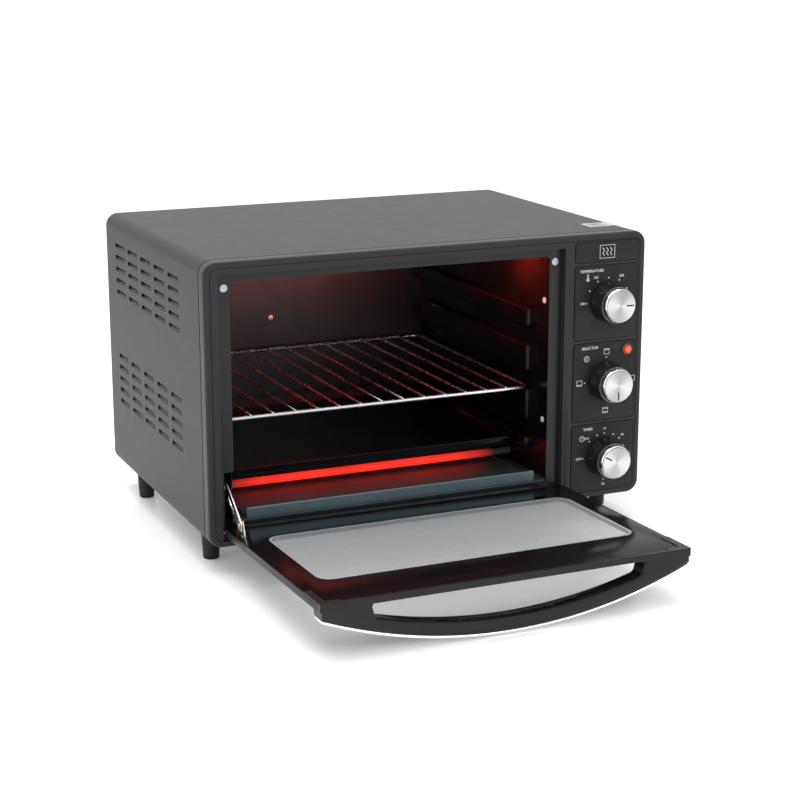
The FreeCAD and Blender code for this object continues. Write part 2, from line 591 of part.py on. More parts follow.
def build_cavity():
    build_side_wall("left", WALL_LEFT, -1)
    build_side_wall("right", WALL_RIGHT, 1)
    across = (WALL_LEFT, WALL_RIGHT)
    along = (FRAME_BACK, REAR)
    node("cavity_roof", block("roof_sheet", across, along, (ROOF, f"{ROOF} + cavity_sheet")))
    node("cavity_floor", block("floor_sheet", across, along, (f"{FLOOR} - cavity_sheet", FLOOR)))
    back = block("back_wall_sheet", (f"{WALL_LEFT} - cavity_sheet", f"{WALL_RIGHT} + cavity_sheet"),
                 (REAR, f"{REAR} + cavity_sheet"), (f"{FLOOR} - cavity_sheet", f"{ROOF} + cavity_sheet"))
    swell = rounded("back_wall_field", (f"{WALL_LEFT} + 14", f"{WALL_RIGHT} - 14"),
                    (f"{REAR} - 1.5", f"{REAR} + cavity_sheet / 2"), (f"{FLOOR} + 14", f"{ROOF} - 14"), "12", "Y")
    node("cavity_back_wall", fuse("back_wall", back, swell))
    fixings = []
    for side, face, turn in (("left", WALL_LEFT, "X"), ("right", WALL_RIGHT, "-X")):
        for i, (y, z) in enumerate(WALL_SCREWS):
            fixings.append(turned(f"{side}_wall_screw_{i}", [("0", "0"), ("3.4", "0"), ("3.4", "0.8"),
                                                             ("2.4", "2"), ("0", "2")], (face, y, z), turn))
    fixings.append(turned("back_rivet", [("1", "0"), ("3", "0"), ("3", "0.6"), ("1.8", "1.4"), ("1", "1.4")],
                          (f"{MIDDLE} - 16", f"{REAR} - 1.5", f"{FLOOR} + 134"), "-Y"))
    node("cavity_fixings", *fixings)


def build_heaters():
    left_end = f"({WALL_LEFT} - cavity_sheet - heater_tail)"
    length = f"{WALL_RIGHT} - {WALL_LEFT} + 2 * (cavity_sheet + heater_tail)"
    rods = [rod(f"heater_rod_{i}", "heater_radius", (left_end, y, z), length, "X")
            for i, (y, z) in enumerate(HEATERS)]
    for name, pair in (("heaters_lower", rods[:2]), ("heaters_upper", rods[2:])):
        node(name, *pair)
    collars, tabs = [], []
    for i, (y, z) in enumerate(HEATERS):
        for side, face, turn in (("left", f"{WALL_LEFT} - cavity_sheet", "-X"),
                                 ("right", f"{WALL_RIGHT} + cavity_sheet", "X")):
            collars.append(turned(f"collar_{side}_{i}", [
                ("heater_radius", "0"), ("collar_radius", "0"), ("collar_radius", "collar_length - 1.5"),
                ("collar_radius - 1.5", "collar_length"), ("heater_radius", "collar_length")], (face, y, z), turn))
        for side, edge in (("left", f"{left_end} - 7"), ("right", f"({left_end} + {length})")):
            tabs.append(block(f"tab_{side}_{i}", (edge, f"{edge} + 7"), (f"{y} - 3.15", f"{y} + 3.15"),
                              (f"{z} - 0.4", f"{z} + 0.4")))
    node("heater_collars", *collars)
    node("heater_terminals", *tabs)


# ------------------------------------------------------------------ rack and trays
def build_rack():
    centre_left = f"({WALL_LEFT} + rack_gap + rack_wire / 2)"
    centre_right = f"({WALL_RIGHT} - rack_gap - rack_wire / 2)"
    front = "(rack_front + rack_wire / 2)"
    back = f"({REAR} - 1.5 - rack_gap - rack_wire / 2)"
    level = f"({FLOOR} + rack_level)"
    radius = "rack_wire / 2"
    pieces = []
    for name, y in (("front", front), ("back", back)):
        pieces.append(rod(f"rack_{name}", radius, (f"{centre_left} + rack_corner", y, level),
                          f"{centre_right} - {centre_left} - 2 * rack_corner", "X"))
    for name, x in (("left", centre_left), ("right", centre_right)):
        pieces.append(rod(f"rack_{name}", radius, (x, f"{front} + rack_corner", level),
                          f"{back} - {front} - 2 * rack_corner", "Y"))
    bends = ((centre_left, "+", front, "+", 180), (centre_right, "-", front, "+", 270),
             (centre_right, "-", back, "-", 0), (centre_left, "+", back, "-", 90))
    for i, (x, sign_x, y, sign_y, start) in enumerate(bends):
        bend = doc.addObject("Part::Torus", f"rack_bend_{i}")
        bind(bend, Radius1="rack_corner", Radius2=radius)
        bend.Angle3 = 90
        bend.Placement = FreeCAD.Placement(Vector(), FreeCAD.Rotation(Vector(0, 0, 1), start))
        bind(bend, Placement__Base__x=f"{x} {sign_x} rack_corner", Placement__Base__y=f"{y} {sign_y} rack_corner",
             Placement__Base__z=level)
        pieces.append(bend)
    bar_level = f"{level} + rack_wire / 2 - rack_bar / 4"
    count = int(number(f"({centre_right} - {centre_left} - rack_pitch) / (2 * rack_pitch)"))
    for i in range(-count, count + 1):
        pieces.append(rod(f"rack_bar_{i + count}", "rack_bar / 2", (f"{MIDDLE} + {i} * rack_pitch",
                          f"{front} - rack_wire / 4", bar_level), f"{back} - {front} + rack_wire / 2", "Y"))
    node("wire_rack", fuse("rack_welded", *pieces))


def build_baking_tray():
    rim_under = f"({FLOOR} + tray_level)"
    base = f"({rim_under} - tray_depth)"
    left, right = f"({WALL_LEFT} + tray_gap)", f"({WALL_RIGHT} - tray_gap)"
    back = f"({REAR} - 1.5 - tray_gap)"
    rim = rounded("tray_rim_sheet", (left, right), ("tray_front", back),
                  (rim_under, f"{rim_under} + tray_sheet"), "tray_corner + tray_rim")
    well = rounded("tray_well", (f"{left} + tray_rim", f"{right} - tray_rim"),
                   ("tray_front + tray_rim", f"{back} - tray_rim"), (base, f"{rim_under} + tray_sheet"),
                   "tray_corner", "Z", "7", base)
    step = "tray_rim + tray_sheet"
    inside = rounded("tray_inside", (f"{left} + {step}", f"{right} - {step}"),
                     (f"tray_front + {step}", f"{back} - {step}"), (f"{base} + tray_sheet", f"{rim_under} + 9"),
                     "tray_corner - tray_sheet", "Z", "6", f"{base} + tray_sheet")
    node("baking_tray", cut("tray_cut", fuse("tray_solid", rim, well), inside))


def build_crumb_tray():
    base = f"({FLOOR} + seat_gap)"
    across = (f"{WALL_LEFT} + crumb_gap", f"{WALL_RIGHT} - crumb_gap")
    back = f"({REAR} - 1.5 - crumb_gap)"
    upstand = f"{base} + 3"
    pieces = [
        block("crumb_base", across, ("crumb_front", back), (base, f"{base} + crumb_sheet")),
        block("crumb_front_lip", across, ("crumb_front", "crumb_front + crumb_sheet"),
              (base, f"{base} + crumb_lip")),
        rod("crumb_front_hem", "1.1", (across[0], "crumb_front + 1.1", f"{base} + crumb_lip"),
            span(across), "X"),
        block("crumb_back_lip", across, (f"{back} - crumb_sheet", back), (base, upstand)),
        block("crumb_left_lip", (across[0], f"{across[0]} + crumb_sheet"), ("crumb_front", back), (base, upstand)),
        block("crumb_right_lip", (f"{across[1]} - crumb_sheet", across[1]), ("crumb_front", back), (base, upstand)),
    ]
    node("crumb_tray", fuse("crumb_tray_folded", *pieces))


# ------------------------------------------------------------------ outer body
FEET = [(x, y) for x in (f"(foot_inset - {HALF})", f"({HALF} - foot_inset)")
        for y in ("foot_front", "(body_depth - foot_rear)")]


def build_shell():
    body = doc.addObject("PartDesign::Body", "shell_body")
    side = f"({HALF} - shell_inset)"
    inner = f"({side} - shell_sheet)"
    reach = ("bezel_depth", "body_depth - shell_sheet")
    extrude(body, "shell_block", "Y", oblong((f"-{side}", side), ("shell_inset", "body_height - shell_inset")), reach)
    low = "(shell_inset + shell_sheet)"
    extrude(body, "shell_hollow", "Y", oblong((f"-{inner}", inner), (low, f"body_height - {low}")), reach,
            kind="Pocket")
    round_edges(body, "shell_inner_corners", "bezel_corner - shell_inset - shell_sheet",
                lambda edge: runs_along(edge, "Y") and abs(edge.CenterOfMass.x) < number(inner) + 0.01)
    round_edges(body, "shell_outer_corners", "bezel_corner - shell_inset",
                lambda edge: runs_along(edge, "Y") and abs(edge.CenterOfMass.x) > number(inner) + 0.01)
    gap = f"({HALF} - shell_lip)"
    extrude(body, "shell_bottom_gap", "Y", oblong((f"-{gap}", gap), ("-1", "shell_inset + shell_sheet + 1")), reach,
            kind="Pocket")
    slots = []
    for group in ("louvre_low", "louvre_high"):
        for row in range(5):
            low = f"{group} + {row} * louvre_pitch"
            slots.append(extrude(body, f"{group}_{row}", "X",
                                 oblong(("louvre_front", "louvre_front + louvre_length"),
                                        (low, f"{low} + louvre_height")),
                                 (f"-{HALF} - 1", f"{HALF} + 1"), kind="Pocket"))
    doc.recompute()
    pattern = body.newObject("PartDesign::LinearPattern", "louvre_columns")
    pattern.Originals = slots
    pattern.Direction = (slots[0].Profile[0], ["H_Axis"])
    pattern.Occurrences = 5
    bind(pattern, Length="4 * louvre_step")
    body.Tip = pattern
    holes = [rod(f"shell_foot_hole_{i}", "2.2", (x, y, "0"), "4") for i, (x, y) in enumerate(FEET)]
    node("outer_shell", cut("shell_drilled", body, *holes))


def build_base_pan():
    low = "(shell_inset + shell_sheet)"
    pan = block("pan_sheet", (f"bezel_corner - {HALF}", f"{HALF} - bezel_corner"),
                ("bezel_depth + spigot + 0.5", "body_depth - shell_sheet"),
                (low, f"{low} + 1"))
    holes = [rod(f"pan_foot_hole_{i}", "2.2", (x, y, "0"), "6") for i, (x, y) in enumerate(FEET)]
    slots = [block(f"pan_vent_{i}", (f"{MIDDLE} + {step} * 40 - 4", f"{MIDDLE} + {step} * 40 + 4"),
                   ("foot_front + 60", "foot_front + 150"), ("0", "6")) for i, step in enumerate(range(-3, 5))]
    node("base_pan", cut("pan_cut", pan, *holes, *slots))


def build_back_panel():
    side = f"({HALF} - shell_inset)"
    panel = rounded("panel_sheet", (f"-{side}", side), ("body_depth - shell_sheet", "body_depth"),
                    ("shell_inset", "body_height - shell_inset"), "bezel_corner - shell_inset", "Y")
    slots = []
    for column in range(-3, 4):
        for row in range(4):
            x = f"{column} * louvre_step * 1.2"
            z = f"body_height - 40 - {row} * louvre_pitch"
            slots.append(block(f"panel_slot_{column + 3}_{row}", (f"{x} - louvre_length / 2", f"{x} + louvre_length / 2"),
                               ("body_depth - 2", "body_depth + 1"), (z, f"{z} + louvre_height")))
    slots.append(rod("panel_gland_hole", "gland_radius", (*GLAND[:1], "body_depth - 2", GLAND[1]), "4", "Y"))
    node("back_panel", cut("panel_cut", panel, *slots))
    spots = [(x, z) for x in (f"10 - {HALF}", "0", f"{HALF} - 10") for z in ("12", "body_height - 12")]
    node("back_panel_screws", *[turned(f"panel_screw_{i}", [("0", "0"), ("3.5", "0"), ("3.5", "0.9"),
                                                             ("2.4", "2"), ("0", "2")], (x, "body_depth", z), "Y")
                                for i, (x, z) in enumerate(spots)])


GLAND = (f"({HALF} - 48)", "44")


def build_power_entry():
    node("cord_gland", turned("gland_turned", [
        ("3.6", "-4"), ("gland_radius", "-4"), ("gland_radius", "0"), ("gland_radius + 3", "0"),
        ("gland_radius + 3", "2.5"), ("gland_radius", "4"), ("5", "gland_reach"), ("3.6", "gland_reach")],
        (GLAND[0], "body_depth", GLAND[1]), "Y"))
    low = "(shell_inset + shell_sheet + 1)"
    node("terminal_block", block("terminal_case", (f"{HALF} - 75", f"{HALF} - 40"),
                                 ("body_depth - 60", "body_depth - 38"), (low, f"{low} + 16")))
    node("heat_shield", block("shield_sheet", (f"{WALL_RIGHT} + shield_gap", f"{WALL_RIGHT} + shield_gap + 0.8"),
                              (f"{UNIT_FACE} + 2", f"{REAR} - 4"), (FLOOR, ROOF)))
    top = "(body_height - shell_inset)"
    node("top_label", rounded("label_foil", (f"{HALF} - 44", f"{HALF} - 14"), ("bezel_depth + 25", "bezel_depth + 49"),
                              (top, f"{top} + 0.3"), "2"))


def build_feet():
    feet, screws = [], []
    for i, (x, y) in enumerate(FEET):
        feet.append(turned(f"foot_{i}", [
            ("2.1", "shell_inset"), ("2.1", "8 - foot_height"), ("4.6", "8 - foot_height"), ("4.6", "-foot_height"),
            ("foot_radius - 2.5", "-foot_height"), ("foot_radius - 1.5", "1 - foot_height"),
            ("foot_radius", "shell_inset")], (x, y, "0")))
        screws.append(turned(f"foot_screw_{i}", [
            ("0", "5.5 - foot_height"), ("3.6", "5.5 - foot_height"), ("3.6", "8 - foot_height"),
            ("1.9", "8 - foot_height"), ("1.9", "7"), ("0", "7")], (x, y, "0")))
    node("feet", *feet)
    node("foot_screws", *screws)


# ------------------------------------------------------------------ door, drawn flat from its hinge axis
def build_door():
    end = f"-{DOOR_REACH}"
    sides = (("left", DOOR_LEFT, 1), ("right", DOOR_RIGHT, -1))
    for side, edge, way in sides:
        def across(width, edge=edge, way=way):
            far = f"{edge} + {way} * ({width})"
            return (edge, far) if way > 0 else (far, edge)

        low_x = across("rail_width")[0]
        bar = block(f"rail_{side}_bar", across("rail_width"), (f"{end} + end_strip + 0.3", "0"),
                    ("-door_under", f"{GLASS_UNDER} - 0.1"))
        upstand = block(f"rail_{side}_upstand", across("rail_edge"), (f"{end} + end_strip + 0.3", "-foot_rail"),
                        ("-door_under", GLASS_TOP))
        eye = rod(f"rail_{side}_eye", "door_under", (low_x, "0", "0"), "rail_width", "X")
        bore = rod(f"rail_{side}_bore", "pin_radius + pin_fit", (f"{low_x} - 1", "0", "0"), "rail_width + 2", "X")
        node(f"door_rail_{side}", cut(f"rail_{side}_cut", fuse(f"rail_{side}_solid", bar, upstand, eye), bore),
             seat="door")
    pins = [rod("pin_left", "pin_radius", (f"{RECESS_LEFT} - recess_lip - 3", "hinge_setback", "hinge_height"),
                "recess_lip + 3 + door_clear + rail_width - 1", "X"),
            rod("pin_right", "pin_radius", (f"{RECESS_RIGHT} + recess_lip + 3", "hinge_setback", "hinge_height"),
                "recess_lip + 3 + door_clear + rail_width - 1", "-X")]
    node("hinge_pins", *pins)
    glass_x = (f"{DOOR_LEFT} + rail_edge + 0.2", f"{DOOR_RIGHT} - rail_edge - 0.2")
    node("door_glass", rounded("glass_pane", glass_x, (f"{end} + end_strip + 0.2", "-4"),
                               (GLASS_UNDER, GLASS_TOP), "2"), seat="door")
    rail_x = (f"{RECESS_LEFT} + foot_rail_end", f"{RECESS_RIGHT} - foot_rail_end")
    nose = rod("foot_rail_nose", DOOR_INNER, (rail_x[0], "0", "0"), span(rail_x), "X")
    bar = block("foot_rail_bar", rail_x, ("-foot_rail", "0"), ("-door_under", DOOR_INNER))
    under = block("foot_rail_under", (f"{rail_x[0]} - 1", f"{rail_x[1]} + 1"), ("-20", "20"), ("-20", "-door_under"))
    groove = block("foot_rail_groove", (f"{rail_x[0]} - 1", f"{rail_x[1]} + 1"), ("-foot_rail - 1", "-3.8"),
                   (f"{GLASS_UNDER} - 0.05", f"{GLASS_TOP} + 0.05"))
    node("door_foot_rail", cut("foot_rail_cut", fuse("foot_rail_solid", nose, bar), under, groove), seat="door")


def build_handle():
    end = f"-{DOOR_REACH}"
    face = "(-door_under)"
    left, right = f"({MIDDLE} - handle_half)", f"({MIDDLE} + handle_half)"
    body = doc.addObject("PartDesign::Body", "bow")
    reach = (end, f"{end} + handle_width")
    tip = f"({face} - handle_end)"
    extrude(body, "bow_pad", "Y", [(left, face), (right, face), (right, tip), (left, tip)], reach,
            arcs=[(2, (MIDDLE, f"({face} - handle_drop)"))])
    grip_left, grip_right = f"({MIDDLE} - grip_half)", f"({MIDDLE} + grip_half)"
    grip_tip = f"({face} - grip_end)"
    extrude(body, "bow_grip", "Y", [(grip_left, f"{face} + 1"), (grip_right, f"{face} + 1"), (grip_right, face),
                                    (f"{grip_right} - grip_step", grip_tip), (f"{grip_left} + grip_step", grip_tip),
                                    (grip_left, face)], (f"{end} - 1", f"{end} + handle_width + 1"),
            arcs=[(3, (MIDDLE, f"({face} - grip_drop)"))], kind="Pocket")
    round_edges(body, "grip_corners", "grip_round",
                lambda edge: runs_along(edge, "Y") and abs(edge.CenterOfMass.z - number(grip_tip)) < 0.01)
    channel_side = "(grip_half - grip_step - grip_round - 2)"
    channel_tip = f"({grip_tip} - channel_depth)"
    extrude(body, "bow_channel", "Y", [(f"{MIDDLE} - {channel_side}", face), (f"{MIDDLE} + {channel_side}", face),
                                       (f"{MIDDLE} + {channel_side}", channel_tip),
                                       (f"{MIDDLE} - {channel_side}", channel_tip)],
            (f"{end} + channel_edge", f"{end} + handle_width - channel_edge"),
            arcs=[(2, (MIDDLE, f"({face} - grip_drop - channel_depth)"))], kind="Pocket")
    round_edges(body, "bow_round", "handle_round",
                lambda edge: "Circle" in edge.Curve.TypeId and (lies_at(edge, "Y", end)
                                                                or lies_at(edge, "Y", reach[1])))
    strip = block("handle_strip", (DOOR_LEFT, DOOR_RIGHT), (end, f"{end} + end_strip"), (face, DOOR_INNER))
    base = block("handle_base", (f"{DOOR_LEFT} + rail_width + 0.3", f"{DOOR_RIGHT} - rail_width - 0.3"),
                 (f"{end} + end_strip - 1", f"{end} + handle_width"), (face, f"{GLASS_UNDER} - 0.1"))
    tabs = []
    for i, (edge, way) in enumerate(((DOOR_LEFT, 1), (DOOR_RIGHT, -1))):
        for j, (width, length) in enumerate((("tab_width", "tab_length"), ("tab_reach", "tab_width"))):
            far = f"{edge} + {way} * {width}"
            tabs.append(block(f"handle_tab_{i}_{j}", (edge, far) if way > 0 else (far, edge),
                              (end, f"{end} + {length}"), (GLASS_TOP, DOOR_INNER)))
    clips = [block(f"clip_slot_{i}", (f"{MIDDLE} + {way} * clip_spread - 4", f"{MIDDLE} + {way} * clip_spread + 4"),
                   (f"{end} + 4", f"{end} + 8"), ("-60", f"{face} - 10")) for i, way in enumerate((-1, 1))]
    head = block("grip_head_room", (grip_left, grip_right), (f"{end} - 1", f"{end} + handle_width + 1"),
                 (f"{face} - 1", f"{GLASS_UNDER} - grip_head"))
    node("door_handle", cut("handle_cut", fuse("handle_solid", body, strip, base, *tabs), head, *clips),
         seat="door")
    trim = doc.addObject("PartDesign::Body", "trim")
    gap = 0.1
    upper, lower = f"({tip} - {gap})", f"({tip} - {gap} - trim_sheet)"
    crown = f"({face} - handle_drop - {gap})"
    extrude(trim, "trim_pad", "Y", [(left, upper), (right, upper), (right, lower), (left, lower)],
            (f"{end} + trim_inset", f"{end} + handle_width - trim_inset"),
            arcs=[(0, (MIDDLE, crown)), (2, (MIDDLE, f"({crown} - trim_sheet)"))])
    node("handle_trim", trim, seat="door")
    spots = [f"({MIDDLE} + {way} * (grip_half + 24))" for way in (-1, 1)]
    node("handle_screws", *[turned(f"handle_screw_{i}", [
        ("0", "0"), ("3.2", "0"), ("3.2", "1"), ("2.2", "2"), ("0", "2")],
        (x, f"{end} + handle_width + 8", f"{GLASS_UNDER}"), "-Z") for i, x in enumerate(spots)], seat="door")


def build_link():
    near, far = f"({LINK_X} - link_sheet / 2)", f"({LINK_X} + link_sheet / 2)"
    ear_near = f"({far} + link_gap)"
    ear_far = f"({ear_near} + link_sheet)"
    ear = doc.addObject("PartDesign::Body", "ear")
    top = "(pivot_rise + 6)"
    extrude(ear, "ear_pad", "X", [("-pivot_reach - 10", GLASS_TOP), ("-pivot_reach + 12", GLASS_TOP),
                                  ("-pivot_reach + 6", "pivot_rise"), ("-pivot_reach + 4", top),
                                  ("-pivot_reach - 4", top), ("-pivot_reach - 6", "pivot_rise")], (ear_near, ear_far))
    foot = block("ear_foot", (near, ear_far), ("-pivot_reach - 10", "-pivot_reach + 12"),
                 (GLASS_TOP, f"{GLASS_TOP} + 0.8"))
    bore = rod("ear_bore", "rivet_radius", (f"{ear_near} - 1", "-pivot_reach", "pivot_rise"), "link_sheet + 2", "X")
    node("link_bracket", cut("ear_cut", fuse("ear_solid", ear, foot), bore), seat="door")
    start = f"({near} - 1.5)"
    shank = f"({ear_far} + 1 - {start})"
    node("link_rivet", turned("rivet_turned", [
        ("0", "0"), ("3.6", "0"), ("3.6", "1.2"), ("rivet_radius", "1.2"),
        ("rivet_radius", f"{shank} - 1"), ("3.4", f"{shank} - 1"), ("3.4", shank), ("0", shank)],
        (start, "-pivot_reach", "pivot_rise"), "X"), seat="door")

    arm = doc.addObject("PartDesign::Body", "arm")
    half = "(link_width / 2)"
    extrude(arm, "arm_pad", "X", [(f"-{half} - 1", "0"), ("-3", f"-{half}"), ("link_length * 0.6", f"-{half} - 1"),
                                  ("link_length + 5", "-5"), ("link_length + 5", "4"),
                                  ("link_length * 0.55", half), ("-3", half)], (near, far))
    holes = [rod("arm_bore", "rivet_radius + pin_fit", (f"{near} - 1", "0", "0"), "link_sheet + 2", "X"),
             rod("arm_spring_hole", "2", (f"{near} - 1", "link_length", "0"), "link_sheet + 2", "X"),
             block("arm_slot", (f"{near} - 1", f"{far} + 1"), ("link_length * 0.22", "link_length * 0.5"), ("-3", "1")),
             rod("arm_slot_hole", "2.6", (f"{near} - 1", "link_length * 0.66", "-1"), "link_sheet + 2", "X")]
    node("door_link", cut("arm_cut", arm, *holes), seat="link")
    hook = "(link_length + 3)"
    coil = rod("spring_coil", "spring_radius", (LINK_X, f"{hook} + 8", "0"), "spring_length - 16", "Y")
    tails = [rod("spring_near_tail", "0.7", (LINK_X, f"{hook} + 3", "0"), "8", "Y"),
             rod("spring_far_tail", "0.7", (LINK_X, f"{hook} + spring_length - 9", "0"), "8", "Y")]
    node("link_spring", fuse("spring_solid", coil, *tails), seat="link")
    y, z = ANCHOR
    plate = (f"({LINK_X} - anchor_side - link_sheet)", f"({LINK_X} - anchor_side)")
    heights = (f"{z} - 6", f"{z} + 6")
    node("spring_anchor", fuse(
        "anchor_bent",
        block("anchor_plate", plate, (f"{y} - 4", f"{y} + anchor_length"), heights),
        block("anchor_foot", (plate[0], f"{WALL_LEFT} - cavity_sheet"),
              (f"{y} + anchor_length - link_sheet", f"{y} + anchor_length"), heights)))


ANCHOR = (
    "(hinge_setback - pivot_reach + (link_length + spring_length + 4) * cos(link_angle))",
    "(hinge_height + pivot_rise + (link_length + spring_length + 4) * sin(link_angle))",
)

# ------------------------------------------------------------------ build, check and write
build_bezel()
build_plates()
build_knobs()
build_units()
build_lamp()
build_front_frame()
build_cavity()
build_heaters()
build_rack()
build_baking_tray()
build_crumb_tray()
build_shell()
build_base_pan()
build_back_panel()
build_power_entry()
build_feet()
build_door()
build_handle()
build_link()
doc.removeObject("reckoner")
doc.recompute()

faults = [obj.Name for obj in doc.Objects if {"Invalid", "Error"} & set(obj.State)]
for obj in nodes:
    if obj.Shape.isNull() or not obj.Shape.isValid() or not obj.Shape.Solids:
        faults.append(obj.Label)
if faults:
    raise RuntimeError("these objects failed: " + ", ".join(faults))

os.makedirs("parts", exist_ok=True)
for obj in nodes:
    obj.Shape.exportStep(os.path.join("parts", obj.Label + ".step"))
    box = obj.Shape.BoundBox
    print("%-24s %d solid(s)  x %.1f..%.1f  y %.1f..%.1f  z %.1f..%.1f" % (
        obj.Label, len(obj.Shape.Solids), box.XMin, box.XMax, box.YMin, box.YMax, box.ZMin, box.ZMax))
print(len(nodes), "sub-parts")
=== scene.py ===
import json
import math

import bmesh
import bpy
from bpy.props import FloatProperty, FloatVectorProperty, IntProperty, PointerProperty
from mathutils import Matrix, Vector


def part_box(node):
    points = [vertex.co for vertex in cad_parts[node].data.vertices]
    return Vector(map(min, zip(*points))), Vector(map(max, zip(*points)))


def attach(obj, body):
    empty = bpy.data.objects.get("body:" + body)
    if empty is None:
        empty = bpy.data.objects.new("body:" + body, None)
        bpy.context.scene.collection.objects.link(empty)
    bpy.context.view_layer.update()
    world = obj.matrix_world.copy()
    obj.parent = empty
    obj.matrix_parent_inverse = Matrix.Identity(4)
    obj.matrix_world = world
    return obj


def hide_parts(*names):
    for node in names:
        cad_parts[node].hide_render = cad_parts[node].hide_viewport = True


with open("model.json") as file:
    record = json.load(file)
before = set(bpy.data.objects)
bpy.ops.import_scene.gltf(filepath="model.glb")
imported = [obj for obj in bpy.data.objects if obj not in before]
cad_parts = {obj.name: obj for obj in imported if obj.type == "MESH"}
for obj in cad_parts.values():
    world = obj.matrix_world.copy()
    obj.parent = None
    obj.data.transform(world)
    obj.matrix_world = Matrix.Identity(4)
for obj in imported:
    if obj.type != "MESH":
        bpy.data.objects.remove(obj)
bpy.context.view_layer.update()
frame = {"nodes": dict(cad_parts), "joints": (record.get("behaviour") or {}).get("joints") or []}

bl_info = {
    "name": "Toaster oven",
    "version": (1, 0, 0),
    "blender": (4, 5, 0),
    "location": "3D View > Sidebar > Oven",
    "description": "Visible pieces, finishes and studio of a countertop toaster oven",
    "category": "Object",
}

MM = 0.001


# ------------------------------------------------------------------ places taken from the frame
def span(node):
    """Lowest and highest corner of a CAD part."""
    low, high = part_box(node)
    return Vector(low), Vector(high)


def flat_span(node):
    """Lowest and highest corner of a part of the open door, measured along the door from the hinge axis."""
    turn = Matrix.Rotation(DOOR_RISE, 3, "X")
    flat = [turn @ (vert.co - DOOR_AXIS) for vert in frame["nodes"][node].data.vertices]
    return tuple(Vector([pick(place[axis] for place in flat) for axis in range(3)]) for pick in (min, max))


def joint(name):
    return next(j for j in frame["joints"] if j["name"] == name)


HINGE = Vector(joint("door_hinge")["pos_m"])
DOOR_AXIS = Vector((0, HINGE.y, HINGE.z))
DOOR_RISE = math.radians(90 + min(joint("door_hinge")["range_deg"]))
PIVOT = Vector(joint("link_pivot")["pos_m"])
BEZEL_LOW, BEZEL_HIGH = span("front_bezel")
KNOBS = ("temperature", "selector", "timer")


# ------------------------------------------------------------------ what a user would change
class OvenSizes(bpy.types.PropertyGroup):
    """Sizes of the pieces drawn here"""
    mark: FloatProperty(name="Mark", description="Width of a printed line",
                        default=0.6 * MM, unit="LENGTH", precision=5)
    print_height: FloatProperty(name="Print", description="Height of a printed numeral",
                                default=3.9 * MM, unit="LENGTH", precision=5)
    dial: FloatProperty(name="Dial", description="Knob axis to the ring of dots",
                        default=26.5 * MM, unit="LENGTH", precision=5)
    window_side: FloatProperty(name="Window side", description="Door's side to its clear window",
                               default=28 * MM, unit="LENGTH", precision=4)
    window_near: FloatProperty(name="Window near", description="Hinge axis to the clear window",
                               default=50 * MM, unit="LENGTH", precision=4)
    window_far: FloatProperty(name="Window far", description="Hinge axis to the window's far edge",
                              default=196 * MM, unit="LENGTH", precision=4)
    window_corner: FloatProperty(name="Window corner", description="Corner radius of the window",
                                 default=12 * MM, unit="LENGTH", precision=4)
    dot_pitch: FloatProperty(name="Dot pitch", description="Printed dots round the window",
                             default=2.1 * MM, unit="LENGTH", precision=5)
    spring_turns: IntProperty(name="Spring turns", description="Turns of the link's spring",
                              default=26, min=4, max=60)


class OvenColours(bpy.types.PropertyGroup):
    """Colours of the finishes"""
    bezel: FloatVectorProperty(name="Bezel", description="Satin paint of the front moulding",
                               default=(0.029, 0.0295, 0.0308), subtype="COLOR")
    shell: FloatVectorProperty(name="Shell", description="Satin paint of the shell",
                               default=(0.040, 0.0403, 0.0412), subtype="COLOR")
    plate: FloatVectorProperty(name="Plates", description="Control plates",
                               default=(0.017, 0.0175, 0.0185), subtype="COLOR")
    enamel: FloatVectorProperty(name="Enamel", description="Cavity and baking tray",
                                default=(0.003, 0.003, 0.0035), subtype="COLOR")
    zinc: FloatVectorProperty(name="Zinc", description="Galvanised sheet",
                              default=(0.36, 0.42, 0.46), subtype="COLOR")
    plastic: FloatVectorProperty(name="Handle", description="Moulded handle",
                                 default=(0.006, 0.006, 0.0065), subtype="COLOR")
    glow: FloatVectorProperty(name="Glow", description="Hot middle of a heater",
                              default=(1.0, 0.030, 0.018), subtype="COLOR")
    marks: FloatVectorProperty(name="Marks", description="Printed numerals and symbols",
                               default=(0.84, 0.84, 0.82), subtype="COLOR")


class OvenStudio(bpy.types.PropertyGroup):
    """Camera and lights"""
    lens: FloatProperty(name="Lens", description="Focal length, in millimetres", default=83.82)
    camera: FloatVectorProperty(name="Camera", description="Camera from the bezel's foot, in metres",
                                default=(-0.800, -1.7095, 0.6125), subtype="TRANSLATION")
    heading: FloatProperty(name="Heading", description="Camera's turn from straight ahead",
                           default=math.radians(-23.97), subtype="ANGLE")
    dip: FloatProperty(name="Dip", description="Camera's tilt below level",
                       default=math.radians(14.34), subtype="ANGLE")
    key: FloatProperty(name="Key", description="Overhead light, in watts", default=62.0)
    side: FloatProperty(name="Side", description="Light from the left, in watts", default=3.0)
    fill: FloatProperty(name="Fill", description="Light from the front right, in watts", default=7.0)
    sky: FloatProperty(name="Sky", description="Strength of the surrounding white", default=0.92)
    heat: FloatProperty(name="Heat", description="Strength of the heaters' glow", default=1.05)
    ember: FloatProperty(name="Ember", description="Red light thrown on the cavity, in watts", default=3.2)


def sizes():
    return bpy.context.scene.oven_sizes


def colours():
    return bpy.context.scene.oven_colours


def studio():
    return bpy.context.scene.oven_studio


# ------------------------------------------------------------------ modelling, as by hand
TO_FRONT = (math.pi / 2, 0, 0)


def pick_nothing():
    if bpy.context.object and bpy.context.object.mode != "OBJECT":
        bpy.ops.object.mode_set(mode="OBJECT")
    bpy.ops.object.select_all(action="DESELECT")


def take(obj):
    pick_nothing()
    obj.select_set(True)
    bpy.context.view_layer.objects.active = obj
    return obj


def open_mesh(obj, mode="EDGE"):
    take(obj)
    bpy.ops.object.mode_set(mode="EDIT")
    bpy.ops.mesh.select_mode(type=mode)


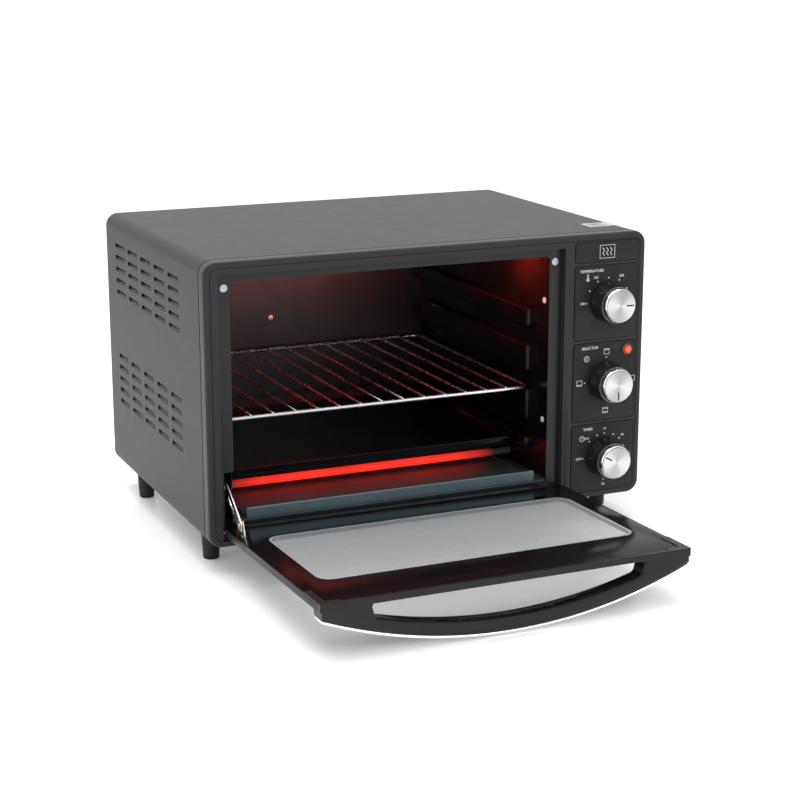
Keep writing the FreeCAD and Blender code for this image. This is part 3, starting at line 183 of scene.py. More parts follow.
def close_mesh():
    bpy.ops.object.mode_set(mode="OBJECT")


def choose(obj, test):
    """Select the edges that pass a test, in edit mode."""
    mesh = bmesh.from_edit_mesh(obj.data)
    bpy.ops.mesh.select_all(action="DESELECT")
    for edge in mesh.edges:
        edge.select_set(test(edge))
    mesh.select_flush_mode()
    bmesh.update_edit_mesh(obj.data)


def settle(obj):
    """Put an object's place into its mesh."""
    take(obj)
    bpy.ops.object.transform_apply(location=True, rotation=True, scale=True)
    return obj


def with_modifier(obj, kind, **settings):
    take(obj)
    bpy.ops.object.modifier_add(type=kind)
    modifier = obj.modifiers[-1]
    for key, value in settings.items():
        setattr(modifier, key, value)
    bpy.ops.object.modifier_apply(modifier=modifier.name)
    return obj


def soften(obj, width):
    return with_modifier(obj, "BEVEL", width=width, segments=2, limit_method="ANGLE",
                         angle_limit=math.radians(40), use_clamp_overlap=True)


def smooth(obj, angle=32):
    take(obj)
    bpy.ops.object.shade_smooth_by_angle(angle=math.radians(angle))
    return obj


def along(edge, axis):
    way = edge.verts[1].co - edge.verts[0].co
    return way.length > 1e-7 and abs(way.normalized()[axis]) > 0.999


def slab(name, low, high, corner=0.0, axis=2, steps=6, edge=0.0):
    """A block with the corners along one axis rounded and every edge softened."""
    low, high = Vector(low), Vector(high)
    pick_nothing()
    bpy.ops.mesh.primitive_cube_add(size=1, location=(low + high) / 2, scale=high - low)
    obj = settle(bpy.context.object)
    obj.name = name
    if corner:
        open_mesh(obj)
        choose(obj, lambda edge: along(edge, axis))
        bpy.ops.mesh.bevel(offset=corner, segments=steps, affect="EDGES")
        close_mesh()
    if edge:
        soften(obj, edge)
    return smooth(obj)


def turned(name, profile, centre, turn=(0, 0, 0), around=56):
    """A lathe piece: a disc drawn out ring by ring through (radius, distance) steps."""
    pick_nothing()
    radius, height = profile[0]
    bpy.ops.mesh.primitive_circle_add(vertices=around, radius=radius, fill_type="NGON",
                                      location=(0, 0, height))
    obj = settle(bpy.context.object)
    obj.name = name
    open_mesh(obj, "FACE")
    bpy.ops.mesh.select_all(action="SELECT")
    for (r0, h0), (r1, h1) in zip(profile, profile[1:]):
        bpy.ops.mesh.extrude_region_move(TRANSFORM_OT_translate={"value": (0, 0, h1 - h0)})
        bpy.ops.transform.resize(value=(r1 / r0, r1 / r0, 1), center_override=(0, 0, h1))
    bpy.ops.mesh.select_all(action="SELECT")
    bpy.ops.mesh.normals_make_consistent(inside=False)
    close_mesh()
    obj.rotation_euler = turn
    obj.location = centre
    return smooth(settle(obj))


def wire(name, points, radius, closed=False, sides=2, smooth_curve=False):
    """A round wire through points, turned into a mesh."""
    curve = bpy.data.curves.new(name, "CURVE")
    curve.dimensions = "3D"
    curve.bevel_depth = radius
    curve.bevel_resolution = sides
    curve.use_fill_caps = not closed
    spline = curve.splines.new("NURBS" if smooth_curve else "POLY")
    spline.points.add(len(points) - 1)
    for point, place in zip(spline.points, points):
        point.co = (*place, 1)
    if smooth_curve:
        spline.order_u = 3
        spline.use_endpoint_u = True
    spline.use_cyclic_u = closed
    obj = bpy.data.objects.new(name, curve)
    bpy.context.collection.objects.link(obj)
    take(obj)
    bpy.ops.object.convert(target="MESH")
    return smooth(bpy.context.object, 50)


def lettering(text, height, centre):
    """A numeral or word that stands upright, facing the front, raised a hair off its plate."""
    pick_nothing()
    bpy.ops.object.text_add()
    obj = bpy.context.object
    obj.data.body = text
    obj.data.size = height
    obj.data.align_x = "CENTER"
    obj.data.align_y = "CENTER"
    obj.data.extrude = 0.05 * MM
    obj.data.resolution_u = 3
    bpy.ops.object.convert(target="MESH")
    obj = bpy.context.object
    obj.rotation_euler = TO_FRONT
    obj.location = centre
    return settle(obj)


def join(name, pieces):
    pick_nothing()
    for piece in pieces:
        piece.select_set(True)
    bpy.context.view_layer.objects.active = pieces[0]
    if len(pieces) > 1:
        bpy.ops.object.join()
    obj = bpy.context.object
    obj.name = name
    return obj


def stamped(name, pattern, places):
    """Copies of one modelled piece, each with its own mesh, joined where they stand; the pattern goes."""
    made = []
    for place in places:
        twin = pattern.copy()
        twin.data = pattern.data.copy()
        bpy.context.collection.objects.link(twin)
        twin.matrix_world = place
        made.append(twin)
    bpy.data.objects.remove(pattern)
    pick_nothing()
    for twin in made:
        twin.select_set(True)
    bpy.context.view_layer.objects.active = made[0]
    bpy.ops.object.transform_apply(location=True, rotation=True, scale=True)
    return join(name, made)


def carved(obj, tool):
    """Cut one piece away from another; the tool goes."""
    with_modifier(obj, "BOOLEAN", operation="DIFFERENCE", object=tool, solver="EXACT")
    bpy.data.objects.remove(tool)
    return obj


def worked(part, name, edge=0.0, angle=32):
    """A part's shape with its facets joined up, its edges softened and its curves shaded smooth."""
    obj = bpy.data.objects.new(name, frame["nodes"][part].data.copy())
    bpy.context.collection.objects.link(obj)
    open_mesh(obj, "VERT")
    bpy.ops.mesh.select_all(action="SELECT")
    bpy.ops.mesh.remove_doubles(threshold=2e-6)
    bpy.ops.mesh.dissolve_limited(angle_limit=math.radians(0.3))
    close_mesh()
    if edge:
        soften(obj, edge)
    return smooth(obj, angle)


def dress(obj, finish, body, slot, *replaced):
    """Give a piece its finish, the body it moves with and the parts that it stands for."""
    obj.data.materials.clear()
    obj.data.materials.append(finish)
    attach(obj, body)
    if replaced:
        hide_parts(*replaced)
    return obj


def shaped(part, name, finish, body, slot, edge=0.0, angle=32):
    """A part drawn again at its own place, with its finish."""
    return dress(worked(part, name, edge, angle), finish, body, slot, part)


def paint_part(part, finish):
    obj = frame["nodes"][part]
    obj.data.materials.clear()
    obj.data.materials.append(finish)


def onto_door(obj):
    """Tilt a piece drawn flat from the hinge axis to where the open door lies."""
    obj.matrix_world = Matrix.Translation(DOOR_AXIS) @ Matrix.Rotation(-DOOR_RISE, 4, "X") @ obj.matrix_world
    return settle(obj)


# ------------------------------------------------------------------ finishes
FINISHES = {}


def put(tree, socket, value):
    """Link a node's output to a socket, or set the socket to a value."""
    if isinstance(value, bpy.types.NodeSocket):
        tree.links.new(value, socket)
    else:
        socket.default_value = value


def feed(tree, made, sockets):
    for key, value in sockets.items():
        put(tree, made.inputs[key], value)


def node(tree, kind, **settings):
    made = tree.nodes.new(kind)
    for key, value in settings.items():
        if key in made.inputs:
            put(tree, made.inputs[key], value)
        else:
            setattr(made, key, value)
    return made


def reckon(tree, operation, *values):
    """The result of a maths node."""
    made = node(tree, "ShaderNodeMath", operation=operation)
    for socket, value in zip(made.inputs, values):
        put(tree, socket, value)
    return made.outputs[0]


def blank(name):
    material = bpy.data.materials.new(name)
    material.use_nodes = True
    tree = material.node_tree
    return material, tree, tree.nodes["Principled BSDF"]


def place_on(tree, scale=(1, 1, 1), move=(0, 0, 0)):
    where = node(tree, "ShaderNodeTexCoord").outputs["Object"]
    return node(tree, "ShaderNodeMapping", Vector=where, Scale=scale, Location=move).outputs["Vector"]


def noise(tree, scale, detail=3.0, stretch=(1, 1, 1)):
    place = place_on(tree, stretch)
    return node(tree, "ShaderNodeTexNoise", Vector=place, Scale=scale, Detail=detail).outputs["Fac"]


def spread(tree, source, low, high, near=0.3, far=0.7):
    """Stretch a texture's middle range to run from low to high."""
    ranged = node(tree, "ShaderNodeMapRange", Value=source)
    feed(tree, ranged, {"From Min": near, "From Max": far, "To Min": low, "To Max": high})
    return ranged.outputs["Result"]


def blend_colours(tree, factor, first, second):
    mix = node(tree, "ShaderNodeMix", data_type="RGBA")
    for socket, value in ((0, factor), (6, (*first, 1)), (7, (*second, 1))):
        put(tree, mix.inputs[socket], value)
    return mix.outputs[2]


def add_bump(tree, shader, height, distance, strength=1.0):
    bump = node(tree, "ShaderNodeBump", Height=height, Strength=strength, Distance=distance)
    put(tree, shader.inputs["Normal"], bump.outputs["Normal"])


def tinted(colour, factor):
    return tuple(min(1.0, part * factor) for part in colour)


def surface(name, colour, rough, metal=0.0, mottle=0.12, mottle_scale=9.0, wear=0.06, wear_scale=60.0,
            grain=0.0, grain_scale=2500.0, stretch=(1, 1, 1), coat=0.0, specular=0.5):
    """A finish with cloudy colour, uneven gloss and a fine surface grain."""
    if name in FINISHES:
        return FINISHES[name]
    material, tree, shader = blank(name)
    cloud = spread(tree, noise(tree, mottle_scale), 0, 1)
    tone = blend_colours(tree, cloud, tinted(colour, 1 - mottle), tinted(colour, 1 + mottle))
    gloss = spread(tree, noise(tree, wear_scale, 4.0, stretch), max(0.02, rough - wear), min(1, rough + wear))
    feed(tree, shader, {"Base Color": tone, "Roughness": gloss, "Metallic": metal, "Coat Weight": coat,
                        "Coat Roughness": 0.08, "Specular IOR Level": specular})
    if grain:
        add_bump(tree, shader, noise(tree, grain_scale, 2.0, stretch), grain * MM)
    FINISHES[name] = material
    return material


def bezel_paint():
    return surface("bezel_satin_paint", colours().bezel, 0.38, mottle=0.015, wear=0.015, grain=0.015,
                   grain_scale=1800, specular=0.18)


def shell_paint():
    return surface("shell_satin_paint", colours().shell, 0.46, mottle=0.015, mottle_scale=5, wear=0.015,
                   grain=0.02, grain_scale=1500, specular=0.14)


def lit_blade_paint():
    # Painted light: the shell's paint made half again lighter, so that the louvre blades read as lit from
    # above.
    return surface("louvre_blade_painted_light", tinted(colours().shell, 1.5), 0.42, mottle=0.02, wear=0.015,
                   specular=0.45)


def plate_paint():
    return surface("plate_satin_paint", colours().plate, 0.38, mottle=0.02, wear=0.015, grain=0.012,
                   grain_scale=2200, specular=0.18)


def enamel():
    return surface("black_enamel", colours().enamel, 0.22, mottle=0.3, mottle_scale=40, wear=0.04,
                   wear_scale=25, grain=0.03, grain_scale=260, specular=0.32)


def back_enamel():
    return surface("back_wall_enamel", tinted(colours().enamel, 4.5), 0.34, mottle=0.2, mottle_scale=30,
                   wear=0.05, wear_scale=25, grain=0.03, grain_scale=260, specular=0.45)


def door_black():
    return surface("door_black_steel", (0.007, 0.007, 0.0075), 0.36, mottle=0.15, grain=0.02,
                   grain_scale=1200, specular=0.3)


def moulded():
    return surface("handle_moulded_plastic", colours().plastic, 0.40, mottle=0.05, grain=0.02,
                   grain_scale=1600, specular=0.3)


def foot_plastic():
    return surface("foot_moulded_plastic", (0.007, 0.007, 0.0075), 0.5, mottle=0.1, grain=0.04,
                   grain_scale=1400, specular=0.3)


def knob_black():
    return surface("knob_gloss_plastic", (0.012, 0.012, 0.013), 0.16, mottle=0.1, wear=0.04, coat=0.4)


def chrome():
    return surface("bright_chrome", (0.88, 0.89, 0.90), 0.10, metal=1.0, mottle=0.03, wear=0.03,
                   wear_scale=140)


def bright_steel():
    return surface("bright_steel", (0.66, 0.67, 0.68), 0.26, metal=1.0, mottle=0.10, mottle_scale=80,
                   wear=0.10, wear_scale=400, grain=0.012, grain_scale=3000, stretch=(1, 0.15, 1))


def plated():
    return surface("zinc_plated", (0.46, 0.53, 0.60), 0.36, metal=0.75, mottle=0.06, mottle_scale=90,
                   wear=0.06, wear_scale=400)


def bright_plate():
    return surface("bright_plated", (0.85, 0.85, 0.84), 0.35, metal=0.25, mottle=0.06, mottle_scale=90)


def smooth_zinc():
    return surface("zinc_rolled", (0.15, 0.21, 0.235), 0.40, metal=0.85, mottle=0.07, mottle_scale=14,
                   wear=0.05, wear_scale=30, grain=0.01, grain_scale=1500, stretch=(0.2, 1, 1))


def frame_grey():
    return surface("frame_dark_steel", (0.012, 0.0122, 0.013), 0.36, mottle=0.05, mottle_scale=30, wear=0.03,
                   grain=0.02, grain_scale=1500, specular=0.35)


def rack_wire():
    return surface("rack_wire", (0.74, 0.74, 0.75), 0.28, metal=1.0, mottle=0.04, wear=0.04, wear_scale=140)


def foil():
    return surface("label_foil", (0.40, 0.405, 0.41), 0.42, metal=0.3, mottle=0.04, mottle_scale=60,
                   wear=0.05)


def dull_steel():
    return surface("dull_steel", (0.33, 0.33, 0.33), 0.42, metal=1.0, mottle=0.2, mottle_scale=60, wear=0.1,
                   wear_scale=300)


def copper():
    return surface("copper_plate", (0.78, 0.42, 0.25), 0.3, metal=1.0, mottle=0.15, mottle_scale=200,
                   wear=0.1, wear_scale=500)


def marks():
    return surface("printed_marks", colours().marks, 0.5, mottle=0.05, mottle_scale=300)


def print_and_shade_black():
    # Black for the printed rows on the label and the knobs' pointers, and for painted shade: the ring that
    # fills the bezel's seam.
    return surface("black_print_and_painted_shade", (0.006, 0.006, 0.006), 0.6, mottle=0.2, mottle_scale=100)


def ceramic():
    return surface("collar_ceramic", (0.74, 0.71, 0.64), 0.7, mottle=0.08, mottle_scale=120, grain=0.08,
                   grain_scale=900)


def bakelite():
    return surface("switch_bakelite", (0.10, 0.055, 0.035), 0.4, mottle=0.2, mottle_scale=60, grain=0.05,
                   grain_scale=900)


def zinc():
    """Galvanised sheet: flat crystals of slightly different brightness."""
    if "zinc_spangle" in FINISHES:
        return FINISHES["zinc_spangle"]
    material, tree, shader = blank("zinc_spangle")
    cells = node(tree, "ShaderNodeTexVoronoi", Vector=place_on(tree), Scale=170.0, Randomness=1.0)
    flakes = node(tree, "ShaderNodeSeparateColor", Color=cells.outputs["Color"]).outputs
    tone = blend_colours(tree, flakes["Red"], tinted(colours().zinc, 0.78), tinted(colours().zinc, 1.2))
    gloss = spread(tree, flakes["Green"], 0.26, 0.44, 0, 1)
    feed(tree, shader, {"Base Color": tone, "Roughness": gloss, "Metallic": 0.92})
    add_bump(tree, shader, noise(tree, 30, 4.0), 0.25 * MM, 0.35)
    FINISHES["zinc_spangle"] = material
    return material


def brushed_cap(name, centre):
    """Aluminium disc, turned: fine rings about its own centre, a true anisotropic sheen, and a painted sheen
    that fans out as lighter and darker sectors in its colour.
    """
    material, tree, shader = blank(name)
    place = place_on(tree, move=-Vector(centre))
    split = node(tree, "ShaderNodeSeparateXYZ", Vector=place).outputs
    angle = reckon(tree, "ARCTAN2", split["Z"], split["X"])
    # Painted sheen: the colour runs lighter and darker in sectors round the disc's centre, as a painted
    # highlight fanning out on turned aluminium.
    painted_sheen_fan = reckon(tree, "COSINE", reckon(tree, "MULTIPLY_ADD", angle, 2.0, 0.5))
    tone = blend_colours(tree, spread(tree, painted_sheen_fan, 0, 1, -1, 1), (0.40, 0.405, 0.41), (0.66, 0.665, 0.67))
    rings = node(tree, "ShaderNodeTexWave", Vector=place, wave_type="RINGS", rings_direction="Y", Scale=900.0,
                 Distortion=0.6, Detail=3.0).outputs["Fac"]
    tangent = node(tree, "ShaderNodeTangent", direction_type="RADIAL", axis="Y")
    gloss = spread(tree, rings, 0.24, 0.36, 0, 1)
    feed(tree, shader, {"Base Color": tone, "Roughness": gloss, "Metallic": 1.0, "Anisotropic": 0.82,
                        "Tangent": tangent.outputs["Tangent"]})
    add_bump(tree, shader, rings, 0.02 * MM, 0.5)
    return material


def hot_rod(name, low, high, strength):
    """Sheathed heater: grey at both cold ends, glowing between them, a little uneven along its length."""
    material, tree, shader = blank(name)
    middle, half = (low + high) / 2, (high - low) / 2
    cold_end, full_glow = half - 0.035, half - 0.075
    along_rod = node(tree, "ShaderNodeSeparateXYZ", Vector=place_on(tree)).outputs["X"]
    away = reckon(tree, "ABSOLUTE", reckon(tree, "SUBTRACT", along_rod, middle))
    heat = spread(tree, away, 1.0, 0.0, full_glow, cold_end)
    product = reckon(tree, "MULTIPLY", heat, spread(tree, noise(tree, 26, 2.0), 0.75, 1.1))
    feed(tree, shader, {"Base Color": blend_colours(tree, heat, (0.10, 0.09, 0.09), (0.30, 0.03, 0.015)),
                        "Roughness": 0.45, "Emission Color": (*colours().glow, 1),
                        "Emission Strength": reckon(tree, "MULTIPLY", product, strength)})
    return material


def lamp_red(centre, radius):
    """Faceted red lens, lit from behind: brightest in its middle."""
    material, tree, shader = blank("lamp_red_lens")
    facets = node(tree, "ShaderNodeTexVoronoi", Vector=place_on(tree), Scale=700.0).outputs["Distance"]
    away = node(tree, "ShaderNodeVectorMath", operation="LENGTH")
    put(tree, away.inputs[0], place_on(tree, move=-Vector(centre)))
    light = spread(tree, away.outputs["Value"], 2.2, 0.15, 0.15 * radius, 0.85 * radius)
    feed(tree, shader, {"Base Color": blend_colours(tree, facets, (0.55, 0.03, 0.015), (0.30, 0.01, 0.005)),
                        "Roughness": 0.12, "Emission Color": (1.0, 0.16, 0.07, 1),
                        "Emission Strength": light})
    add_bump(tree, shader, facets, 0.3 * MM, 0.6)
    return material


def clear_glass():
    material, tree, shader = blank("door_clear_glass")
    gloss = spread(tree, noise(tree, 14), 0.03, 0.07)
    feed(tree, shader, {"Base Color": (0.40, 0.41, 0.415, 1), "IOR": 1.5, "Alpha": 0.5, "Roughness": gloss})
    return material


def frit():
    return surface("door_black_frit", (0.004, 0.004, 0.0045), 0.16, mottle=0.1, wear=0.03, wear_scale=12,
                   specular=0.2)


def dot_clear():
    return surface("door_clear_dots", (0.50, 0.51, 0.515), 0.3, mottle=0.05, mottle_scale=90)


# ------------------------------------------------------------------ operators
class OVEN_OT_stage(bpy.types.Operator):
    """Floor, lights and camera"""
    bl_idname = "oven.stage"
    bl_label = "Stage"

    def execute(self, context):
        scene = context.scene
        scene.view_settings.view_transform = "Standard"
        self.floor()
        world = bpy.data.worlds.new("studio_white")
        world.use_nodes = True
        tree = world.node_tree
        feed(tree, tree.nodes["Background"], {"Color": (1, 1, 1, 1), "Strength": studio().sky})
        scene.world = world
        self.lamp("key_light", (-0.25, 0.35, 2.3), (-0.05, 0.05, 0.1), (2.4, 2.0), studio().key)
        self.lamp("side_light", (-2.4, -0.3, 0.9), (0, 0.05, 0.15), (1.2, 1.6), studio().side)
        self.lamp("fill_light", (1.5, -2.2, 1.5), (0, -0.1, 0.15), (1.2, 1.2), studio().fill)
        self.embers()
        foot = Vector(((BEZEL_LOW.x + BEZEL_HIGH.x) / 2, BEZEL_LOW.y, BEZEL_LOW.z))
        data = bpy.data.cameras.new("studio_camera")
        data.sensor_width = 36
        data.lens = studio().lens
        data.clip_start, data.clip_end = 0.05, 60
        camera = bpy.data.objects.new("studio_camera", data)
        camera.location = foot + Vector(studio().camera)
        camera.rotation_euler = (math.pi / 2 - studio().dip, 0, studio().heading)
        context.collection.objects.link(camera)
        scene.camera = camera
        return {"FINISHED"}

    def floor(self):
        pick_nothing()
        wide, deep, tall = 16, 12, 7
        bpy.ops.mesh.primitive_plane_add(size=1, location=(0, 0, 0))
        floor = bpy.context.object
        floor.scale = (wide, deep, 1)
        settle(floor)
        floor.name = "studio_floor"
        open_mesh(floor)
        rear = deep / 2 - 0.1
        choose(floor, lambda edge: min(v.co.y for v in edge.verts) > rear)
        bpy.ops.mesh.extrude_region_move(TRANSFORM_OT_translate={"value": (0, 0, tall)})
        choose(floor, lambda edge: min(v.co.y for v in edge.verts) > rear
               and max(v.co.z for v in edge.verts) < tall / 2)
        bpy.ops.mesh.bevel(offset=2.5, segments=16, affect="EDGES")
        close_mesh()
        smooth(floor)
        material, tree, shader = blank("studio_white_floor")
        cloud = spread(tree, noise(tree, 2.0), 0, 1)
        tone = blend_colours(tree, cloud, (0.92, 0.92, 0.92), (0.94, 0.94, 0.94))
        feed(tree, shader, {"Base Color": tone, "Roughness": 0.22, "Specular IOR Level": 0.45,
                            "Emission Color": (1, 1, 1, 1), "Emission Strength": 0.12})
        floor.data.materials.append(material)

    def embers(self):
        """Red light thrown by the upper heaters on the back wall's top and the right wall's front."""
        low, high = span("heaters_upper")
        back, wall = span("cavity_back_wall")[0].y, span("cavity_right_wall")[0]
        spots = (("back", ((low.x + high.x) / 2 - 0.04, back - 0.026, high.z), (0, 1, 0), (0.26, 0.01), 1.0),
                 ("side", (wall.x - 0.022, wall.y + 0.05, high.z - 0.004), (1, 0, 0), (0.06, 0.01), 0.16))
        for name, place, way, size, share in spots:
            self.lamp("ember_" + name, place, Vector(place) + Vector(way), size, studio().ember * share)
            ember = bpy.context.scene.objects["ember_" + name]
            ember.data.color = (1.0, 0.045, 0.018)
            ember.visible_camera = ember.visible_glossy = False

    def lamp(self, name, place, aim, spread_of, power):
        data = bpy.data.lights.new(name, "AREA")
        data.shape = "RECTANGLE"
        data.size, data.size_y = spread_of
        data.energy = power
        lamp = bpy.data.objects.new(name, data)
        lamp.location = place
        lamp.rotation_euler = (Vector(aim) - Vector(place)).to_track_quat("-Z", "Y").to_euler()
        bpy.context.collection.objects.link(lamp)


class OVEN_OT_bezel(bpy.types.Operator):
    """Front moulding with its recess"""
    bl_idname = "oven.bezel"
    bl_label = "Bezel"

    def execute(self, context):
        moulding = worked("front_bezel", "bezel_moulding")
        front, back = BEZEL_LOW.y, span("outer_shell")[0].y
        line_inset, line_width, line_depth = 6.2 * MM, 1.0 * MM, 0.8 * MM
        line = self.ring(line_inset, line_width, front - 1 * MM, front + line_depth)
        dress(smooth(carved(moulding, line)), bezel_paint(), "oven", "bezel_paint", "front_bezel")
        # Painted shade: a thin black ring set into the gap where the bezel meets the shell, standing for the
        # shadow in that gap.
        step = BEZEL_HIGH.x - span("outer_shell")[1].x
        seam_inset, seam_width, seam_length, hair = 0.45 * MM, 0.3 * MM, 2.95 * MM, 0.05 * MM
        seam_shade_ring = self.ring(step + seam_inset, seam_width, back - seam_length, back + hair)
        seam_shade_ring.name = "bezel_seam_painted_shade"
        dress(smooth(seam_shade_ring), print_and_shade_black(), "oven", "bezel_paint")
        return {"FINISHED"}

    def ring(self, inset, width, front, back):
        """A thin ring that follows the bezel's outline."""
        bars, corner = [], 14 * MM
        for step, more in ((inset, 0), (inset + width, 1 * MM)):
            bars.append(slab("bezel_ring", (BEZEL_LOW.x + step, front - more, BEZEL_LOW.z + step),
                             (BEZEL_HIGH.x - step, back + more, BEZEL_HIGH.z - step), corner - step, 1, 12))
        return carved(*bars)


class OVEN_OT_plates(bpy.types.Operator):
    """Control plates and what is printed on them"""
    bl_idname = "oven.plates"
    bl_label = "Control plates"
    icon_reach = 36 * MM

    def execute(self, context):
        for part in ("badge_plate", "temperature_plate", "selector_plate", "timer_plate"):
            shaped(part, part + "_pressed", plate_paint(), "oven", "bezel_paint", 0.3 * MM)
        self.face = span("timer_plate")[0].y - 0.04 * MM
        prints = {"badge": self.badge(), "temperature": self.temperature(), "selector": self.selector(),
                  "timer": self.timer()}
        for name, pieces in prints.items():
            dress(join(name + "_marks", pieces), marks(), "oven", "bezel_paint")
        return {"FINISHED"}

    def at(self, name, angle, reach):
        """A point round a knob; 0 degrees is to the right, counted against the clock."""
        centre = Vector(joint(name + "_turn")["pos_m"])
        turn = math.radians(angle)
        return Vector((centre.x + reach * math.cos(turn), self.face, centre.z + reach * math.sin(turn)))

    def stroke(self, points, closed=False):
        obj = wire("stroke", points, sizes().mark / 2, closed, 1)
        middle = Vector((0, self.face, 0))
        obj.matrix_world = Matrix.Translation(middle) @ Matrix.Diagonal((1, 0.25, 1, 1)) \
            @ Matrix.Translation(-middle)
        return settle(obj)

    def ring(self, centre, radius, start=0, end=360, steps=18):
        turns = [math.radians(start + (end - start) * i / steps) for i in range(steps + 1)]
        points = [(centre.x + radius * math.cos(turn), self.face, centre.z + radius * math.sin(turn))
                  for turn in turns]
        return self.stroke(points[:-1], True) if end - start == 360 else self.stroke(points)

    def path(self, centre, offsets, closed=False):
        return self.stroke([(centre.x + x * MM, self.face, centre.z + z * MM) for x, z in offsets], closed)

    def dot(self, place, radius=0.75 * MM):
        return turned("dot", [(radius, 0), (radius, 0.08 * MM), (radius * 0.6, 0.1 * MM)],
                      place + Vector((0, 0.05 * MM, 0)), TO_FRONT, 12)

    def words(self, plate, text):
        low, high = span(plate)
        return lettering(text, 4.4 * MM, (low.x + 20 * MM, self.face, high.z - 5.4 * MM))

    def numerals(self, name, marks_at):
        reach = sizes().dial
        made = []
        for angle, text in marks_at:
            made.append(self.dot(self.at(name, angle, reach)))
            if text:
                made.append(lettering(text, sizes().print_height, self.at(name, angle, reach + 5.2 * MM)))
        return made

    def badge(self):
        low, high = span("badge_plate")
        centre = (low + high) / 2
        waves = [self.path(centre, [(x + 1.1 * math.sin(z * 1.1), z) for z in
                                    [-4.5 + 0.75 * step for step in range(13)]]) for x in (-4.6, 0, 4.6)]
        frame_line = self.path(centre, [(-9, -7), (9, -7), (9, 7), (-9, 7)], True)
        return [*waves, frame_line]

    def temperature(self):
        made = self.numerals("temperature", [(180, "100"), (150, ""), (120, "150"), (90, ""), (60, "200"),
                                             (30, ""), (0, "")])
        icon = self.at("temperature", 135, self.icon_reach)
        made += [self.ring(icon, 1.5 * MM), self.path(icon, [(-0.6, 1.6), (-0.6, 6), (0.6, 6), (0.6, 1.6)]),
                 self.dot(icon, 0.8 * MM)]
        return [*made, self.words("temperature_plate", "TEMPERATURE")]

    def selector(self):
        made = [self.dot(self.at("selector", angle, sizes().dial)) for angle in (90, 180, 0)]
        bars = ([(-2.6, 1.8), (2.6, 1.8)], [(-2.6, -1.8), (2.6, -1.8)])
        for angle, chosen in ((90, bars[:1]), (180, bars[1:]), (-90, bars), (0, ())):
            centre = self.at("selector", angle, sizes().dial + 6.4 * MM)
            made.append(self.path(centre, [(-3.2, -2.9), (3.2, -2.9), (3.2, 2.9), (-3.2, 2.9)], True))
            made += [self.path(centre, bar) for bar in chosen]
        icon = self.at("selector", 133, self.icon_reach)
        made += [self.ring(icon, 3 * MM), self.ring(icon, 1.2 * MM, 40, 320, 12)]
        return [*made, self.words("selector_plate", "SELECTOR")]

    def timer(self):
        made = self.numerals("timer", [(180, "OFF"), (135, "ON"), (110, ""), (90, "15"), (65, ""), (45, "30"),
                                       (22, ""), (0, "45"), (-22, ""), (-45, "60"), (-68, ""), (-90, "90")])
        icon = self.at("timer", 141, self.icon_reach)
        made += [self.ring(icon, 2.8 * MM), self.path(icon, [(0, 1.8), (0, 0), (1.4, 0)])]
        return [*made, self.words("timer_plate", "TIMER")]


